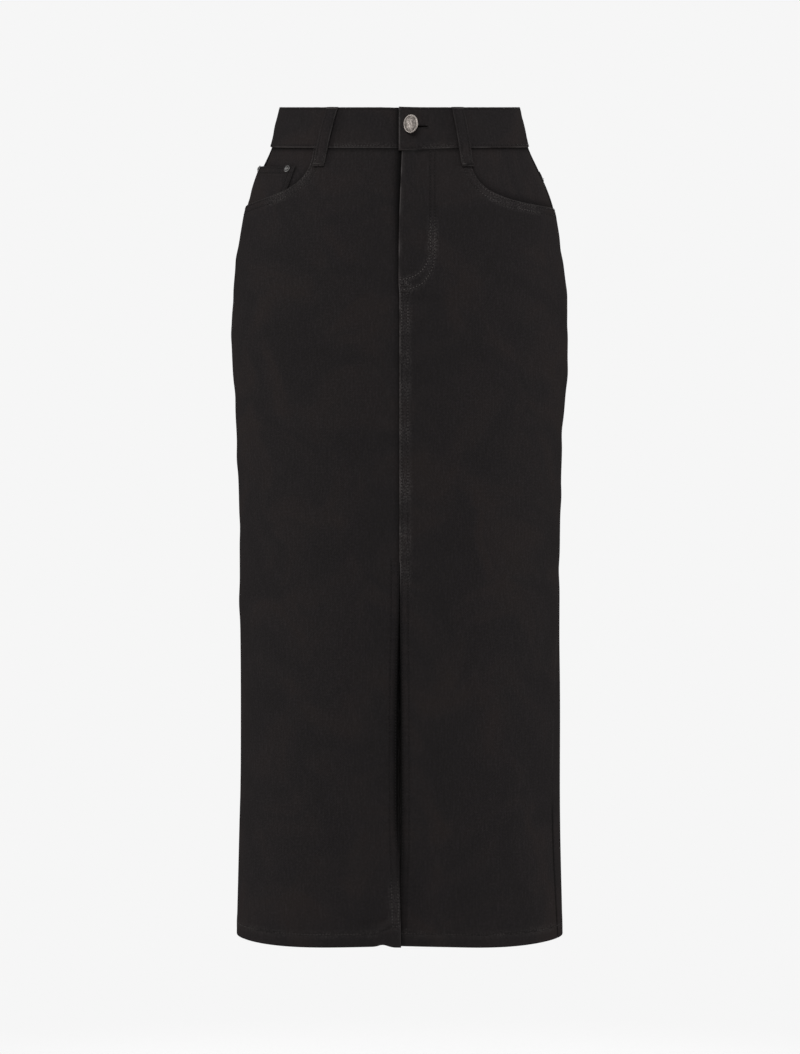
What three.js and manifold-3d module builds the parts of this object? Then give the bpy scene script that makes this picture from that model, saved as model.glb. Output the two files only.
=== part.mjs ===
// A long black denim skirt in the cut of a pair of jeans: shaped waistband with five belt loops, lapped fly
// with a shank button, scooped front pockets with a riveted coin pocket, a yoke at the back, a felled centre
// front seam that opens in a slit, and a turned hem. It stands open and hollow, as it is when it is worn.
// Millimetres, +Z up. The wearer faces -Y and the wearer's left is +X. The origin is the middle of the waist,
// halfway up the waistband.
//
// Every piece of cloth is laid out as a tailor would measure it: "across" is the distance round the figure
// from the centre front, positive towards the wearer's left, and "level" is the height at the side seams.
import * as THREE from "three";
import { mergeVertices } from "three/addons/utils/BufferGeometryUtils.js";
import Module from "manifold-3d";

const wasm = await Module();
wasm.setup();

// Levels, top to bottom.
const waistTop = 21;
const waistSeam = -21;
const yokeAtSide = -46;
const yokeAtBack = -88;
const flyEnd = -178;
const slitTop = -457;
const hemStitch = -834.5;
const hemEdge = -845.5;
const hemRound = 0.7; // the folded hem's lip is rounded over this height
const hemTuck = 0.3;

// Cloth, seams and gaps.
const cloth = 1.2;
const bandCloth = 3;
const bandProud = 0.8;
const gap = 0.3;
const seamGap = 0.15; // each piece stops this far short of a seam line
const crispStep = 0.6; // width of the slope at the edge of a folded or felled strip
const felledWide = 9.5;
const felledProud = 0.5;
const backFelledProud = 0.8;

// Fly, lap and button.
const flyWide = 36;
const flyProudEdge = 1.5;
const flyProudStitch = 1.2;
const flyFade = 53;
const flyEdge = { left: -1, right: 1.5 }; // the lap runs past the centre front, the other side stops short
const lapWide = 32; // the band's two ends lie on each other this far past the centre front
const lapGap = 0.6;
const lapLift = 2.2; // the buttonhole end stands off a little, and the button end sinks back
const lapFade = 22;
const buttonAcross = 11.4;
const buttonLevel = 2.6;
const buttonholeEnd = 26;

// The waist leans forward: the band is lower at the front than at the sides, and a little higher at the back.
const frontLean = 0.1225;
const backLean = 0.06;
const leanEnd = -150;

// The filled-out figure, one row for each level: half the width, the depths before and behind the side line,
// and how square the section is (2 is an ellipse).
const figure = [
  { level: 21, half: 125.2, front: 90, back: 89, square: 2.1 },
  { level: 0, half: 130.4, front: 93.5, back: 94, square: 2.1 },
  { level: -21, half: 135.2, front: 97.5, back: 99, square: 2.12 },
  { level: -46, half: 146.5, front: 102, back: 106.5, square: 2.16 },
  { level: -66, half: 155.8, front: 104.8, back: 112.5, square: 2.18 },
  { level: -85, half: 162, front: 107, back: 117, square: 2.2 },
  { level: -120, half: 168.3, front: 109, back: 124, square: 2.24 },
  { level: -165, half: 174, front: 110, back: 128, square: 2.28 },
  { level: -215, half: 176.4, front: 110, back: 128.5, square: 2.3 },
  { level: -265, half: 174.8, front: 109.5, back: 126, square: 2.3 },
  { level: -325, half: 171, front: 109, back: 121.5, square: 2.32 },
  { level: -400, half: 168.5, front: 108.5, back: 117, square: 2.35 },
  { level: -500, half: 167.6, front: 108.5, back: 113.5, square: 2.38 },
  { level: -620, half: 167.1, front: 108.8, back: 112, square: 2.4 },
  { level: -740, half: 168.3, front: 110, back: 113, square: 2.42 },
  { level: -846, half: 170.8, front: 112, back: 115, square: 2.44 },
];

// The hem hangs lower on both sides of the slit.
const hemDips = [{ across: -100, down: 3.9 }, { across: 100, down: 3.9 }];
const hemDipWide = 78;
const hemDipTall = 71;

// Soft flutes that the cloth falls into below the hips: where round the half girth (0 is the centre front, 1
// the centre back, negative on the wearer's right), where each begins, and how far out it stands at the hem.
const flutes = [
  { round: -0.3, from: -430, out: 2.2, wide: 34 },
  { round: -0.16, from: -520, out: -1.6, wide: 30 },
  { round: 0.12, from: -560, out: -2, wide: 26 },
  { round: 0.27, from: -470, out: 1.8, wide: 36 },
  { round: 0.66, from: -330, out: 4.5, wide: 40 },
  { round: 0.82, from: -300, out: -5, wide: 46 },
  { round: 0.95, from: -360, out: 3, wide: 34 },
  { round: -0.64, from: -350, out: 4, wide: 42 },
  { round: -0.79, from: -290, out: -4.5, wide: 44 },
  { round: -0.93, from: -380, out: 2.5, wide: 36 },
];

// Where the side seams run, past the widest line of the section. The cloth has twisted a little, so the
// wearer's left seam comes forward towards the hem.
const sideSeams = [
  { level: 21, left: 6, right: 10 },
  { level: -85, left: 6, right: 10 },
  { level: -215, left: 5, right: 10 },
  { level: -325, left: 0, right: 9 },
  { level: -450, left: -22, right: 8 },
  { level: -560, left: -38, right: 7 },
  { level: -650, left: -46, right: 6 },
  { level: -740, left: -49, right: 5 },
  { level: -846, left: -43, right: 3 },
];

// The two edges of the slit: how far each lies from the centre front, and how far it rolls out or in.
const slitEdges = [
  { level: -457, left: 0.15, leftOut: 0.5, right: -0.15, rightOut: 0 },
  { level: -520, left: 0.2, leftOut: 0.8, right: -0.8, rightOut: -1.2 },
  { level: -600, left: 1, leftOut: 0.9, right: -2, rightOut: -3.2 },
  { level: -680, left: 1.2, leftOut: 0.6, right: -2.2, rightOut: -3.4 },
  { level: -722, left: 1.2, leftOut: -0.2, right: -2, rightOut: -2.6 },
  { level: -744, left: 1, leftOut: -1.6, right: -1.4, rightOut: -1.1 },
  { level: -766, left: 0.3, leftOut: -3.3, right: -0.6, rightOut: 0 },
  { level: -800, left: -1, leftOut: -4.2, right: 0.3, rightOut: 0.7 },
  { level: -846, left: -2, leftOut: -4.7, right: 1.4, rightOut: 1 },
];
const slitRoll = 38; // how far from its edge the roll dies out

// The scooped pocket mouths. "start" is where each leaves the waistband, and the two handles shape the curve
// from there to the side seam, as shares of that width and levels.
const scoops = {
  left: { start: 72, handles: [[0.027, -72], [0.24, -86]], end: -86 },
  right: { start: 92.5, handles: [[0.024, -60], [0.25, -78]], end: -85 },
};
const facingUnder = 34; // how far the pocket facing runs on below the mouth
const facingTuck = -0.12; // and before it, as a share of the same width
const facingIn = { left: [1.7, 1.7], right: [2, 3.5] }; // at the waist seam and below
const layerGap = 0.6;

// The coin pocket on the wearer's right: how far its cloth gapes, by the height above the pocket mouth.
const coinTop = [-39.7, -42.5]; // at its front edge and at the back
const coinUnder = 12;
const coinFrom = [0.2, 0.27]; // the front edge slants; shares of the mouth's width at the top and the foot
const coinTo = 0.88;
const coinGape = [
  { above: 46, out: 4.8 },
  { above: 30, out: 3.2 },
  { above: 18, out: 1.6 },
  { above: 6, out: 0 },
  { above: -12, out: 0 },
];
const coinRivets = [{ across: -125.6, level: -42.8 }, { across: -183, level: -45 }];

// Belt loops: where the middle of each lies at the top and the bottom, and how it arches over the band.
const frontLoops = { left: { top: 59.5, end: 70.5 }, right: { top: -70, end: -85.5 } };
const sideLoopAcross = 62; // behind the side line, at the back
const loopWide = 13;
const loopCloth = 1.6;
const loopFold = 2.6; // where its end is folded under
const loopFoldFrom = -36;
const loopProfile = [
  { level: 20.6, stand: 0.3 },
  { level: 18.8, stand: 1.3 },
  { level: 10, stand: 2.5 },
  { level: -6, stand: 2.9 },
  { level: -20, stand: 2.6 },
  { level: -29, stand: 2 },
  { level: -35.4, stand: 0.5 },
  { level: loopFoldFrom, stand: 0.5 },
  { level: -41, stand: 0.4 },
];

const denim = new THREE.MeshStandardMaterial({ name: "denim", color: "#242222", roughness: 0.92 });
const zipTape = new THREE.MeshStandardMaterial({ name: "zip_tape", color: "#151515", roughness: 0.8 });
const metal = new THREE.MeshStandardMaterial({
  name: "metal", color: "#9c9893", roughness: 0.38, metalness: 1,
});

const ease = (t) => {
  const held = THREE.MathUtils.clamp(t, 0, 1);
  return held * held * (3 - 2 * held);
};

// One column of a table at a height, on a smooth curve through its rows, which run from high to low.
function read(table, column, height, key = "level") {
  const held = THREE.MathUtils.clamp(height, table[table.length - 1][key], table[0][key]);
  let k = 0;
  while (k < table.length - 2 && held < table[k + 1][key]) k += 1;
  const slope = (i) => {
    const a = table[Math.max(i - 1, 0)];
    const b = table[Math.min(i + 1, table.length - 1)];
    return (b[column] - a[column]) / (b[key] - a[key]);
  };
  const high = table[k];
  const low = table[k + 1];
  const step = low[key] - high[key];
  const t = (held - high[key]) / step;
  const blend = t * t * (3 - 2 * t);
  const leave = t * (1 - t) * (1 - t) * step * slope(k);
  const arrive = t * t * (t - 1) * step * slope(k + 1);
  return high[column] + blend * (low[column] - high[column]) + leave + arrive;
}

// The section at a level as points from the centre front round the wearer's left to the centre back, with
// the distance round to each of them.
const ringSteps = 240;
const rings = new Map();
function ring(level) {
  const key = level.toFixed(4);
  if (!rings.has(key)) {
    const half = read(figure, "half", level);
    const front = read(figure, "front", level);
    const back = read(figure, "back", level);
    const square = read(figure, "square", level);
    const points = [];
    const along = [0];
    for (let i = 0; i <= ringSteps; i += 1) {
      const turn = (Math.PI * i) / ringSteps;
      const deep = turn < Math.PI / 2 ? front : back;
      const wideShare = (Math.abs(Math.sin(turn)) / half) ** square;
      const deepShare = (Math.abs(Math.cos(turn)) / deep) ** square;
      const reach = (wideShare + deepShare) ** (-1 / square);
      points.push(new THREE.Vector2(reach * Math.sin(turn), -reach * Math.cos(turn)));
      if (i > 0) along.push(along[i - 1] + points[i].distanceTo(points[i - 1]));
    }
    rings.set(key, { points, along });
  }
  return rings.get(key);
}
const halfGirth = (level) => ring(level).along[ringSteps];
const quarterGirth = (level) => ring(level).along[ringSteps / 2];

// How far the flutes move the cloth at a place.
function fluting(across, level) {
  const girth = halfGirth(level);
  let out = 0;
  for (const flute of flutes) {
    const away = (across / girth - flute.round) * girth;
    const fall = ease((flute.from - level) / (flute.from - hemEdge));
    out += flute.out * fall * Math.exp(-((away / flute.wide) ** 2));
  }
  return out;
}

// How far the cloth near the hem hangs below its level.
function hemDrop(across, level) {
  const near = ease((hemEdge + hemDipTall - level) / hemDipTall);
  let down = 0;
  for (const dip of hemDips) down += dip.down * Math.exp(-(((across - dip.across) / hemDipWide) ** 2));
  return near * down;
}

// The point of the figure at a distance round and a level, before anything is moved out.
function figurePoint(across, level) {
  const { points, along } = ring(level);
  const girth = along[ringSteps];
  let round = across;
  while (round > girth) round -= 2 * girth;
  while (round < -girth) round += 2 * girth;
  const far = Math.abs(round);
  let low = 0;
  let high = ringSteps;
  while (high - low > 1) {
    const middle = (low + high) >> 1;
    if (along[middle] > far) high = middle;
    else low = middle;
  }
  const t = (far - along[low]) / (along[high] - along[low]);
  const flat = points[low].clone().lerp(points[high], t);
  const leaning = ease((level - leanEnd) / (waistSeam - leanEnd));
  const lean = (flat.y < 0 ? frontLean : backLean) * flat.y * leaning;
  return new THREE.Vector3(Math.sign(round) * flat.x, flat.y, level + lean - hemDrop(round, level));
}

// The outward direction there, from points a little way round and up.
const probeRound = 3;
const probeUp = 2;
function outward(across, level) {
  const round = figurePoint(across + probeRound, level).sub(figurePoint(across - probeRound, level));
  const high = Math.min(level + probeUp, waistTop);
  const low = Math.max(level - probeUp, hemEdge);
  const up = figurePoint(across, high).sub(figurePoint(across, low));
  return round.cross(up).normalize();
}

// A point of the cloth, a distance out from the figure.
function at(across, level, out) {
  const moved = out + fluting(across, level);
  return figurePoint(across, level).addScaledVector(outward(across, level), moved);
}

function solidOf(geometry) {
  const bare = geometry.clone();
  for (const attribute of Object.keys(bare.attributes)) {
    if (attribute !== "position") bare.deleteAttribute(attribute);
  }
  const merged = mergeVertices(bare, 1e-4);
  return new wasm.Manifold(
    new wasm.Mesh({
      numProp: 3,
      vertProperties: new Float32Array(merged.attributes.position.array),
      triVerts: new Uint32Array(merged.index.array),
    }),
  );
}

function geometryOf(solid) {
  const { vertProperties, triVerts } = solid.getMesh();
  const geometry = new THREE.BufferGeometry();
  geometry.setAttribute("position", new THREE.BufferAttribute(new Float32Array(vertProperties), 3));
  geometry.setIndex(new THREE.BufferAttribute(new Uint32Array(triVerts), 1));
  return geometry;
}

function named(name, geometry, material) {
  geometry.computeVertexNormals();
  const mesh = new THREE.Mesh(geometry, material);
  mesh.name = name;
  return mesh;
}

// A wall of cloth between two layers of points. layout[row][column] gives each place as across, level, and
// the distances out of its outer and inner faces.
function wall(layout) {
  const rows = layout.length;
  const columns = layout[0].length;
  const positions = [];
  for (const face of ["outer", "inner"]) {
    for (const row of layout) {
      for (const place of row) positions.push(...at(place.across, place.level, place[face]).toArray());
    }
  }
  const index = [];
  const layer = rows * columns;
  const quad = (a, b, c, d) => index.push(a, b, c, a, c, d);
  const number = (row, column) => row * columns + column;
  for (let r = 0; r < rows - 1; r += 1) {
    for (let c = 0; c < columns - 1; c += 1) {
      const corners = [number(r, c), number(r + 1, c), number(r + 1, c + 1), number(r, c + 1)];
      quad(...corners);
      quad(layer + corners[0], layer + corners[3], layer + corners[2], layer + corners[1]);
    }
  }
  const rim = [];
  for (let r = 0; r < rows - 1; r += 1) rim.push(number(r, 0));
  for (let c = 0; c < columns - 1; c += 1) rim.push(number(rows - 1, c));
  for (let r = rows - 1; r > 0; r -= 1) rim.push(number(r, columns - 1));
  for (let c = columns - 1; c > 0; c -= 1) rim.push(number(0, c));
  rim.forEach((a, i) => {
    const b = rim[(i + 1) % rim.length];
    quad(b, a, layer + a, layer + b);
  });
  const geometry = new THREE.BufferGeometry();
  geometry.setAttribute("position", new THREE.Float32BufferAttribute(positions, 3));
  geometry.setIndex(index);
  return geometry;
}

// Layouts are written for columns that run to the wearer's left; the other hand is turned round, so that
// every wall faces out.
const facingOut = (layout, hand) => (hand < 0 ? layout.map((row) => [...row].reverse()) : layout);

// Columns of places turned into rows.
const turned = (columns) => columns[0].map((_, row) => columns.map((column) => column[row]));

const handOf = { left: 1, right: -1 };
const sideSeam = (side, level) => quarterGirth(level) + read(sideSeams, side, level);

// The front panels

const seamColumns = [0, felledWide, felledWide + crispStep, 22, flyWide, flyWide + 1, flyFade];
const scoopShares = [0, 0.02, 0.06, 0.12, 0.2, 0.3, 0.4, 0.52, 0.64, 0.76, 0.88, 1];
const mouthBand = [0, coinUnder, 22, facingUnder];
const hipLevels = [-165, -190, -215, -245, -285, -330, -390, slitTop + 2];
const hemLevels = [hemStitch + crispStep, hemStitch, hemEdge + hemRound, hemEdge];
const skirtLevels = [slitTop - 2, -520, -600, -680, -722, -744, -766, -800, ...hemLevels];
const fannedRows = 3; // between the rows that follow a panel's top edge and the level rows

// The levels of a panel's rows, from those that follow its top edge to those that run level.
function panelLevels(top, downs) {
  const levels = downs.map((down) => top - down);
  const last = levels[levels.length - 1];
  for (let i = 1; i < fannedRows; i += 1) {
    levels.push(THREE.MathUtils.lerp(last, hipLevels[0], i / fannedRows));
  }
  return [...levels, ...hipLevels, ...skirtLevels];
}

// The level of a pocket mouth at a share of its width, found on its curve.
function mouthLevel(side, share) {
  const { handles, end } = scoops[side];
  const curve = new THREE.CubicBezierCurve(
    new THREE.Vector2(0, waistSeam - gap),
    new THREE.Vector2(...handles[0]),
    new THREE.Vector2(...handles[1]),
    new THREE.Vector2(1, end),
  );
  if (share <= 0) return waistSeam - gap;
  let low = 0;
  let high = 1;
  for (let i = 0; i < 40; i += 1) {
    const middle = (low + high) / 2;
    if (curve.getPoint(middle).x < share) low = middle;
    else high = middle;
  }
  return curve.getPoint(low).y;
}

// Distance from the centre front of a share of the width between a pocket mouth's start and the side seam.
function shareAcross(side, share, level) {
  const { start } = scoops[side];
  return start + share * (sideSeam(side, level) - seamGap - start);
}

// How far the fly, the felled seam and the rolled slit edge carry the front's outer face.
function frontOut(side, fromEdge, level) {
  let out = 0;
  if (side === "left") {
    const onFly = ease((level - flyEnd + 20) / 20);
    const flyOut = fromEdge <= flyWide
      ? THREE.MathUtils.lerp(flyProudEdge, flyProudStitch, fromEdge / flyWide)
      : flyProudStitch * (1 - ease((fromEdge - flyWide) / (flyFade - flyWide)));
    const onSeam = fromEdge <= felledWide && level > slitTop ? felledProud : 0;
    out = Math.max(flyOut * onFly, onSeam);
  }
  if (level < slitTop) {
    const roll = (1 - THREE.MathUtils.clamp(fromEdge / slitRoll, 0, 1)) ** 2;
    out += roll * read(slitEdges, `${side}Out`, level);
  }
  return out;
}

// Double cloth at the hem, the slit facing, the felled seam and, on the wearer's left, the fly facing.
function frontLayers(side, fromEdge, level) {
  if (level > flyEnd) return side === "left" && fromEdge <= flyWide ? 2 : 1;
  return level <= hemStitch || fromEdge <= felledWide ? 2 : 1;
}

function front(side) {
  const hand = handOf[side];
  const place = (fromEdge, across, level) => {
    const outer = frontOut(side, fromEdge, level) - (level <= hemEdge ? hemTuck : 0);
    return { across: hand * across, level, outer, inner: outer - cloth * frontLayers(side, fromEdge, level) };
  };
  const edgeAt = (level) => (level < slitTop ? hand * read(slitEdges, side, level) : seamGap);
  const columns = [...seamColumns, (flyFade + scoops[side].start) / 2].map((fromEdge) =>
    panelLevels(waistSeam - gap, mouthBand).map((level) => {
      const edge = THREE.MathUtils.lerp(edgeAt(level), flyEdge[side], ease((level - flyEnd + 6) / 12));
      const fade = 1 - ease(fromEdge / slitRoll);
      return place(fromEdge, fromEdge + edge * fade, level);
    }),
  );
  for (const share of scoopShares) {
    columns.push(
      panelLevels(mouthLevel(side, share), mouthBand).map((level) => {
        const across = shareAcross(side, share, level);
        return place(across, across, level);
      }),
    );
  }
  return named(`front_${side}`, wall(facingOut(turned(columns), hand)), denim);
}

// The pocket facings and the coin pocket

// Levels from the waist seam down to the pocket mouth, and on below it.
function mouthLevels(side, share, downs) {
  const mouth = mouthLevel(side, share);
  const above = downs.map((down) => THREE.MathUtils.lerp(waistSeam - gap, mouth, down));
  return [...above, mouth, mouth - coinUnder];
}

function pocketFacing(side) {
  const hand = handOf[side];
  const columns = [facingTuck, ...scoopShares].map((share) => {
    const levels = [...mouthLevels(side, share, [0, 0.33, 0.67]), mouthLevel(side, share) - facingUnder];
    return levels.map((level, row) => {
      const outer = -facingIn[side][row > 0 ? 1 : 0];
      return { across: hand * shareAcross(side, share, level), level, outer, inner: outer - cloth };
    });
  });
  return named(`pocket_facing_${side}`, wall(facingOut(turned(columns), hand)), denim);
}

// The coin pocket's outer face lies just under the front panel, and gapes above the mouth.
function coinOut(share, level) {
  const gaping = 0.12 + 0.88 * ease((share - 0.25) / 0.45);
  const above = level - mouthLevel("right", share);
  return -cloth - layerGap + gaping * read(coinGape, "out", above, "above");
}
function coinFace(across, level) {
  const { start } = scoops.right;
  const share = (-across - start) / (sideSeam("right", level) - seamGap - start);
  return at(across, level, coinOut(share, level));
}

function coinPocket() {
  const side = "right";
  const shares = [coinFrom[0], ...scoopShares.filter((share) => share > coinFrom[1] && share <= coinTo)];
  const columns = shares.map((share, column) => {
    const top = THREE.MathUtils.lerp(...coinTop, (share - shares[0]) / (coinTo - shares[0]));
    const levels = [top, ...mouthLevels(side, share, [0.67])];
    return levels.map((level, row) => {
      const slanted = column > 0 ? share : THREE.MathUtils.lerp(...coinFrom, row / (levels.length - 1));
      const outer = coinOut(slanted, level);
      return { across: -shareAcross(side, slanted, level), level, outer, inner: outer - cloth };
    });
  });
  return named("coin_pocket", wall(facingOut(turned(columns), -1)), denim);
}

// The zip lies hidden behind the lapped edge of the fly

const zipHalfWide = 13;
const zipEnd = -167;
function zip() {
  const outer = -cloth - gap;
  const panelRows = panelLevels(waistSeam - gap, mouthBand);
  const levels = [...panelRows.filter((level) => level >= hipLevels[0]), zipEnd];
  const places = [-zipHalfWide, 0, felledWide, zipHalfWide];
  const layout = levels.map((level) =>
    places.map((across) => ({ across, level, outer, inner: outer - cloth })),
  );
  return named("zip", wall(layout), zipTape);
}

// The back: two yokes over two panels

const yokeLevel = (share) => THREE.MathUtils.lerp(yokeAtSide, yokeAtBack, share);

// Distance round of a share of the way from the side seam to the centre back.
function backAcross(side, share, level) {
  const from = sideSeam(side, level) + seamGap;
  return THREE.MathUtils.lerp(from, halfGirth(level) - seamGap, share);
}

function yoke(side) {
  const hand = handOf[side];
  const shares = [0, 0.11, 0.22, 0.33, 0.44, 0.55, 0.66, 0.77, 0.88, 1];
  const layout = [0, 0.33, 0.67, 1].map((down) =>
    shares.map((share) => {
      const level = THREE.MathUtils.lerp(waistSeam - gap, yokeLevel(share) + seamGap, down);
      return { across: hand * backAcross(side, share, level), level, outer: 0, inner: -cloth };
    }),
  );
  return named(`yoke_${side}`, wall(facingOut(layout, hand)), denim);
}

function back(side) {
  const hand = handOf[side];
  const shares = [0, 0.09, 0.18, 0.27, 0.36, 0.45, 0.54, 0.63, 0.72, 0.81, 0.9];
  const yokeBand = [0, felledWide, felledWide + crispStep, 24];
  const column = (share, fromCentre) => {
    const top = yokeLevel(share) - seamGap;
    return panelLevels(top, yokeBand).map((level, row) => {
      const onYokeSeam = row < 2;
      const onCentreSeam = fromCentre <= felledWide;
      const yokeProud = onYokeSeam ? backFelledProud : 0;
      const centreProud = onCentreSeam && side === "left" ? felledProud : 0;
      const outer = Math.max(yokeProud, centreProud) - (level <= hemEdge ? hemTuck : 0);
      const layers = level <= hemStitch || onYokeSeam || onCentreSeam ? 2 : 1;
      const across = share < 1 ? backAcross(side, share, level) : halfGirth(level) - seamGap - fromCentre;
      return { across: hand * across, level, outer, inner: outer - cloth * layers };
    });
  };
  const columns = shares.map((share) => column(share, Infinity));
  for (const fromCentre of [felledWide + crispStep, felledWide, 0]) columns.push(column(1, fromCentre));
  return named(`back_${side}`, wall(facingOut(turned(columns), hand)), denim);
}

// The waistband: one strip from the button end, under the lap, round the back to the buttonhole end

const bandLevel = 0;
const lapPlaces = [lapWide, 24, 16, 8];
const sinkPlaces = [0, -7, -14];
const evenSteps = 56;
const lapOut = (across) => bandProud + lapLift * (1 - THREE.MathUtils.clamp(across / lapWide, 0, 1)) ** 2;
const underOut = (across) =>
  across > 0
    ? lapOut(across) - bandCloth - lapGap
    : THREE.MathUtils.lerp(bandProud, lapOut(0) - bandCloth - lapGap, 1 - ease(-across / lapFade));

function waistband() {
  const girth = 2 * halfGirth(bandLevel);
  const places = [...lapPlaces, ...sinkPlaces].map((across) => ({ across, outer: underOut(across) }));
  const evenTo = lapWide + 8 - girth;
  for (let i = 0; i <= evenSteps; i += 1) {
    places.push({ across: THREE.MathUtils.lerp(-lapFade, evenTo, i / evenSteps), outer: bandProud });
  }
  for (const across of [...lapPlaces, flyEdge.left]) {
    places.push({ across: across - girth, outer: lapOut(across) });
  }
  const rows = [
    { level: waistTop, tuck: 0.6 },
    { level: waistTop - 1.6, tuck: 0 },
    { level: 7, tuck: 0 },
    { level: -8, tuck: 0 },
    { level: waistSeam, tuck: 0 },
  ];
  const layout = rows.map(({ level, tuck }) => {
    const stretch = halfGirth(level) / halfGirth(bandLevel);
    return places
      .map(({ across, outer }) => ({
        across: across * stretch, level, outer: outer - tuck, inner: outer - bandCloth + tuck,
      }))
      .reverse();
  });
  const band = solidOf(wall(layout));
  return named("waistband", geometryOf(band.subtract(buttonhole())), denim);
}

// A frame on a surface: x runs round it, y up it and z out of it, and its foot stands "lift" off it.
function frameOn(surface, across, level, lift) {
  const x = surface(across + 1, level).sub(surface(across - 1, level)).normalize();
  const up = surface(across, level + 1).sub(surface(across, level - 1));
  const z = x.clone().cross(up).normalize();
  const y = z.clone().cross(x);
  const foot = surface(across, level).addScaledVector(z, lift);
  return new THREE.Matrix4().makeBasis(x, y, z).setPosition(foot);
}
const lapFace = (across, level) => at(across, level, lapOut(across));

// The keyhole that is cut out of the lap alone.
const eyeRadius = 3.5;
const slotWide = 1.4;
const cutterTall = 12;
function buttonhole() {
  const bite = -bandCloth - lapGap / 2;
  const frame = frameOn(lapFace, buttonAcross, buttonLevel, bite);
  const eye = new THREE.CylinderGeometry(eyeRadius, eyeRadius, cutterTall, 16);
  eye.rotateX(Math.PI / 2).translate(0, 0, cutterTall / 2).applyMatrix4(frame);
  let cutter = solidOf(eye);
  const slotSteps = 3;
  const slotStep = (buttonholeEnd - buttonAcross) / slotSteps;
  for (let i = 0; i < slotSteps; i += 1) {
    const middle = buttonAcross + slotStep * (i + 0.5);
    const slot = new THREE.BoxGeometry(slotStep + 0.4, slotWide, cutterTall);
    slot.translate(0, 0, cutterTall / 2).applyMatrix4(frameOn(lapFace, middle, buttonLevel, bite));
    cutter = cutter.add(solidOf(slot));
  }
  return cutter;
}

// The metal

const lathe = (profile, steps) =>
  new THREE.LatheGeometry(profile.map(([x, y]) => new THREE.Vector2(x, y)), steps).rotateX(Math.PI / 2);

// The shank stands on the button end of the band and passes the buttonhole; the cap sits askew on it.
const capRadius = 10;
const capTilt = THREE.MathUtils.degToRad(31);
const capStand = 5.9;
const shankRadius = 2.4;
function button() {
  const cap = lathe(
    [
      [0, 0], [8.4, 0], [9.6, 0.4], [capRadius, 1.1], [9.9, 1.7], [9.3, 2.2], [8.6, 2.2], [8.1, 1.8],
      [6.8, 2.3], [4.6, 2.8], [2.3, 3.1], [0, 3.2],
    ],
    28,
  );
  const foot = -bandCloth - lapGap + gap;
  const top = capStand + 1;
  const shank = lathe([[0, foot], [shankRadius, foot], [shankRadius, top], [0, top]], 16);
  cap.rotateY(capTilt).translate(0, 0, capStand);
  const mesh = named("button", geometryOf(solidOf(cap).add(solidOf(shank))), metal);
  mesh.applyMatrix4(frameOn(lapFace, buttonAcross, buttonLevel, 0));
  return mesh;
}

function rivet(number, { across, level }) {
  const profile = [[0, 0], [3.7, 0], [3.75, 0.4], [3.2, 0.8], [2.1, 0.9], [1.7, 1.4], [0.9, 1.7], [0, 1.8]];
  const cap = lathe(profile, 16);
  const mesh = named(`coin_rivet_${number}`, cap, metal);
  mesh.applyMatrix4(frameOn(coinFace, across, level, gap));
  return mesh;
}

// Belt loops

function beltLoop(name, topAcross, bottomAcross) {
  const first = loopProfile[0].level;
  const last = loopProfile[loopProfile.length - 1].level;
  const layout = loopProfile.map(({ level, stand }) => {
    const down = (first - level) / (first - last);
    const middle = THREE.MathUtils.lerp(topAcross, bottomAcross, down);
    const base = level >= waistSeam ? bandProud : 0;
    const thick = level <= loopFoldFrom ? loopFold : loopCloth;
    return [-0.5, 0, 0.5].map((side) => ({
      across: middle + side * loopWide, level, outer: base + stand + thick, inner: base + stand,
    }));
  });
  return named(name, wall(layout), denim);
}

// The whole skirt

const skirt = new THREE.Group();
skirt.name = "skirt";
for (const side of ["left", "right"]) {
  skirt.add(front(side), back(side), yoke(side), pocketFacing(side));
}
skirt.add(coinPocket(), zip(), waistband(), button());
coinRivets.forEach((place, i) => skirt.add(rivet(i + 1, place)));

const sideLoop = (level) => quarterGirth(level) + sideLoopAcross;
const topLevel = loopProfile[0].level;
const endLevel = loopProfile[loopProfile.length - 1].level;
skirt.add(
  beltLoop("belt_loop_front_left", frontLoops.left.top, frontLoops.left.end),
  beltLoop("belt_loop_front_right", frontLoops.right.top, frontLoops.right.end),
  beltLoop("belt_loop_side_left", sideLoop(topLevel), sideLoop(endLevel)),
  beltLoop("belt_loop_side_right", -sideLoop(topLevel), -sideLoop(endLevel)),
  beltLoop("belt_loop_back", halfGirth(topLevel), halfGirth(endLevel)),
);

export default skirt;
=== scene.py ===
# A long washed-black denim skirt in the cut of a pair of jeans, filled out as it is worn.
# Cloth is laid out in millimetres as "across", the distance round the figure from the centre front, positive
# towards the wearer's left, and "level", the height at the side seams. Meshes are made in metres.
import math

import bpy
import numpy as np
from mathutils import Matrix, Vector, geometry, kdtree


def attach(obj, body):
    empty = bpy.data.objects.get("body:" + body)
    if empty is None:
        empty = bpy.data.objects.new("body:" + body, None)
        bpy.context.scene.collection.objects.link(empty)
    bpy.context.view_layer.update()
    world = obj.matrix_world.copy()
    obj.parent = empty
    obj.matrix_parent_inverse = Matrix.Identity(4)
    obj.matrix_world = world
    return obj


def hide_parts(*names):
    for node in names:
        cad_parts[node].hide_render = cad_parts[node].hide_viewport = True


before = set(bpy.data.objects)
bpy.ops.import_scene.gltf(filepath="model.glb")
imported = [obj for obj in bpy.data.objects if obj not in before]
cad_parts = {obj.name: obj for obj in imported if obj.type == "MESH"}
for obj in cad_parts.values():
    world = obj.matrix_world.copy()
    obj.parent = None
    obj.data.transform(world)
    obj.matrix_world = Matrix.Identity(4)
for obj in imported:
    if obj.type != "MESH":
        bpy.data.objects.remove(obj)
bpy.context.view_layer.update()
print("Frame loaded with", len(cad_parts), "solids")

# The camera and its light

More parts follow.
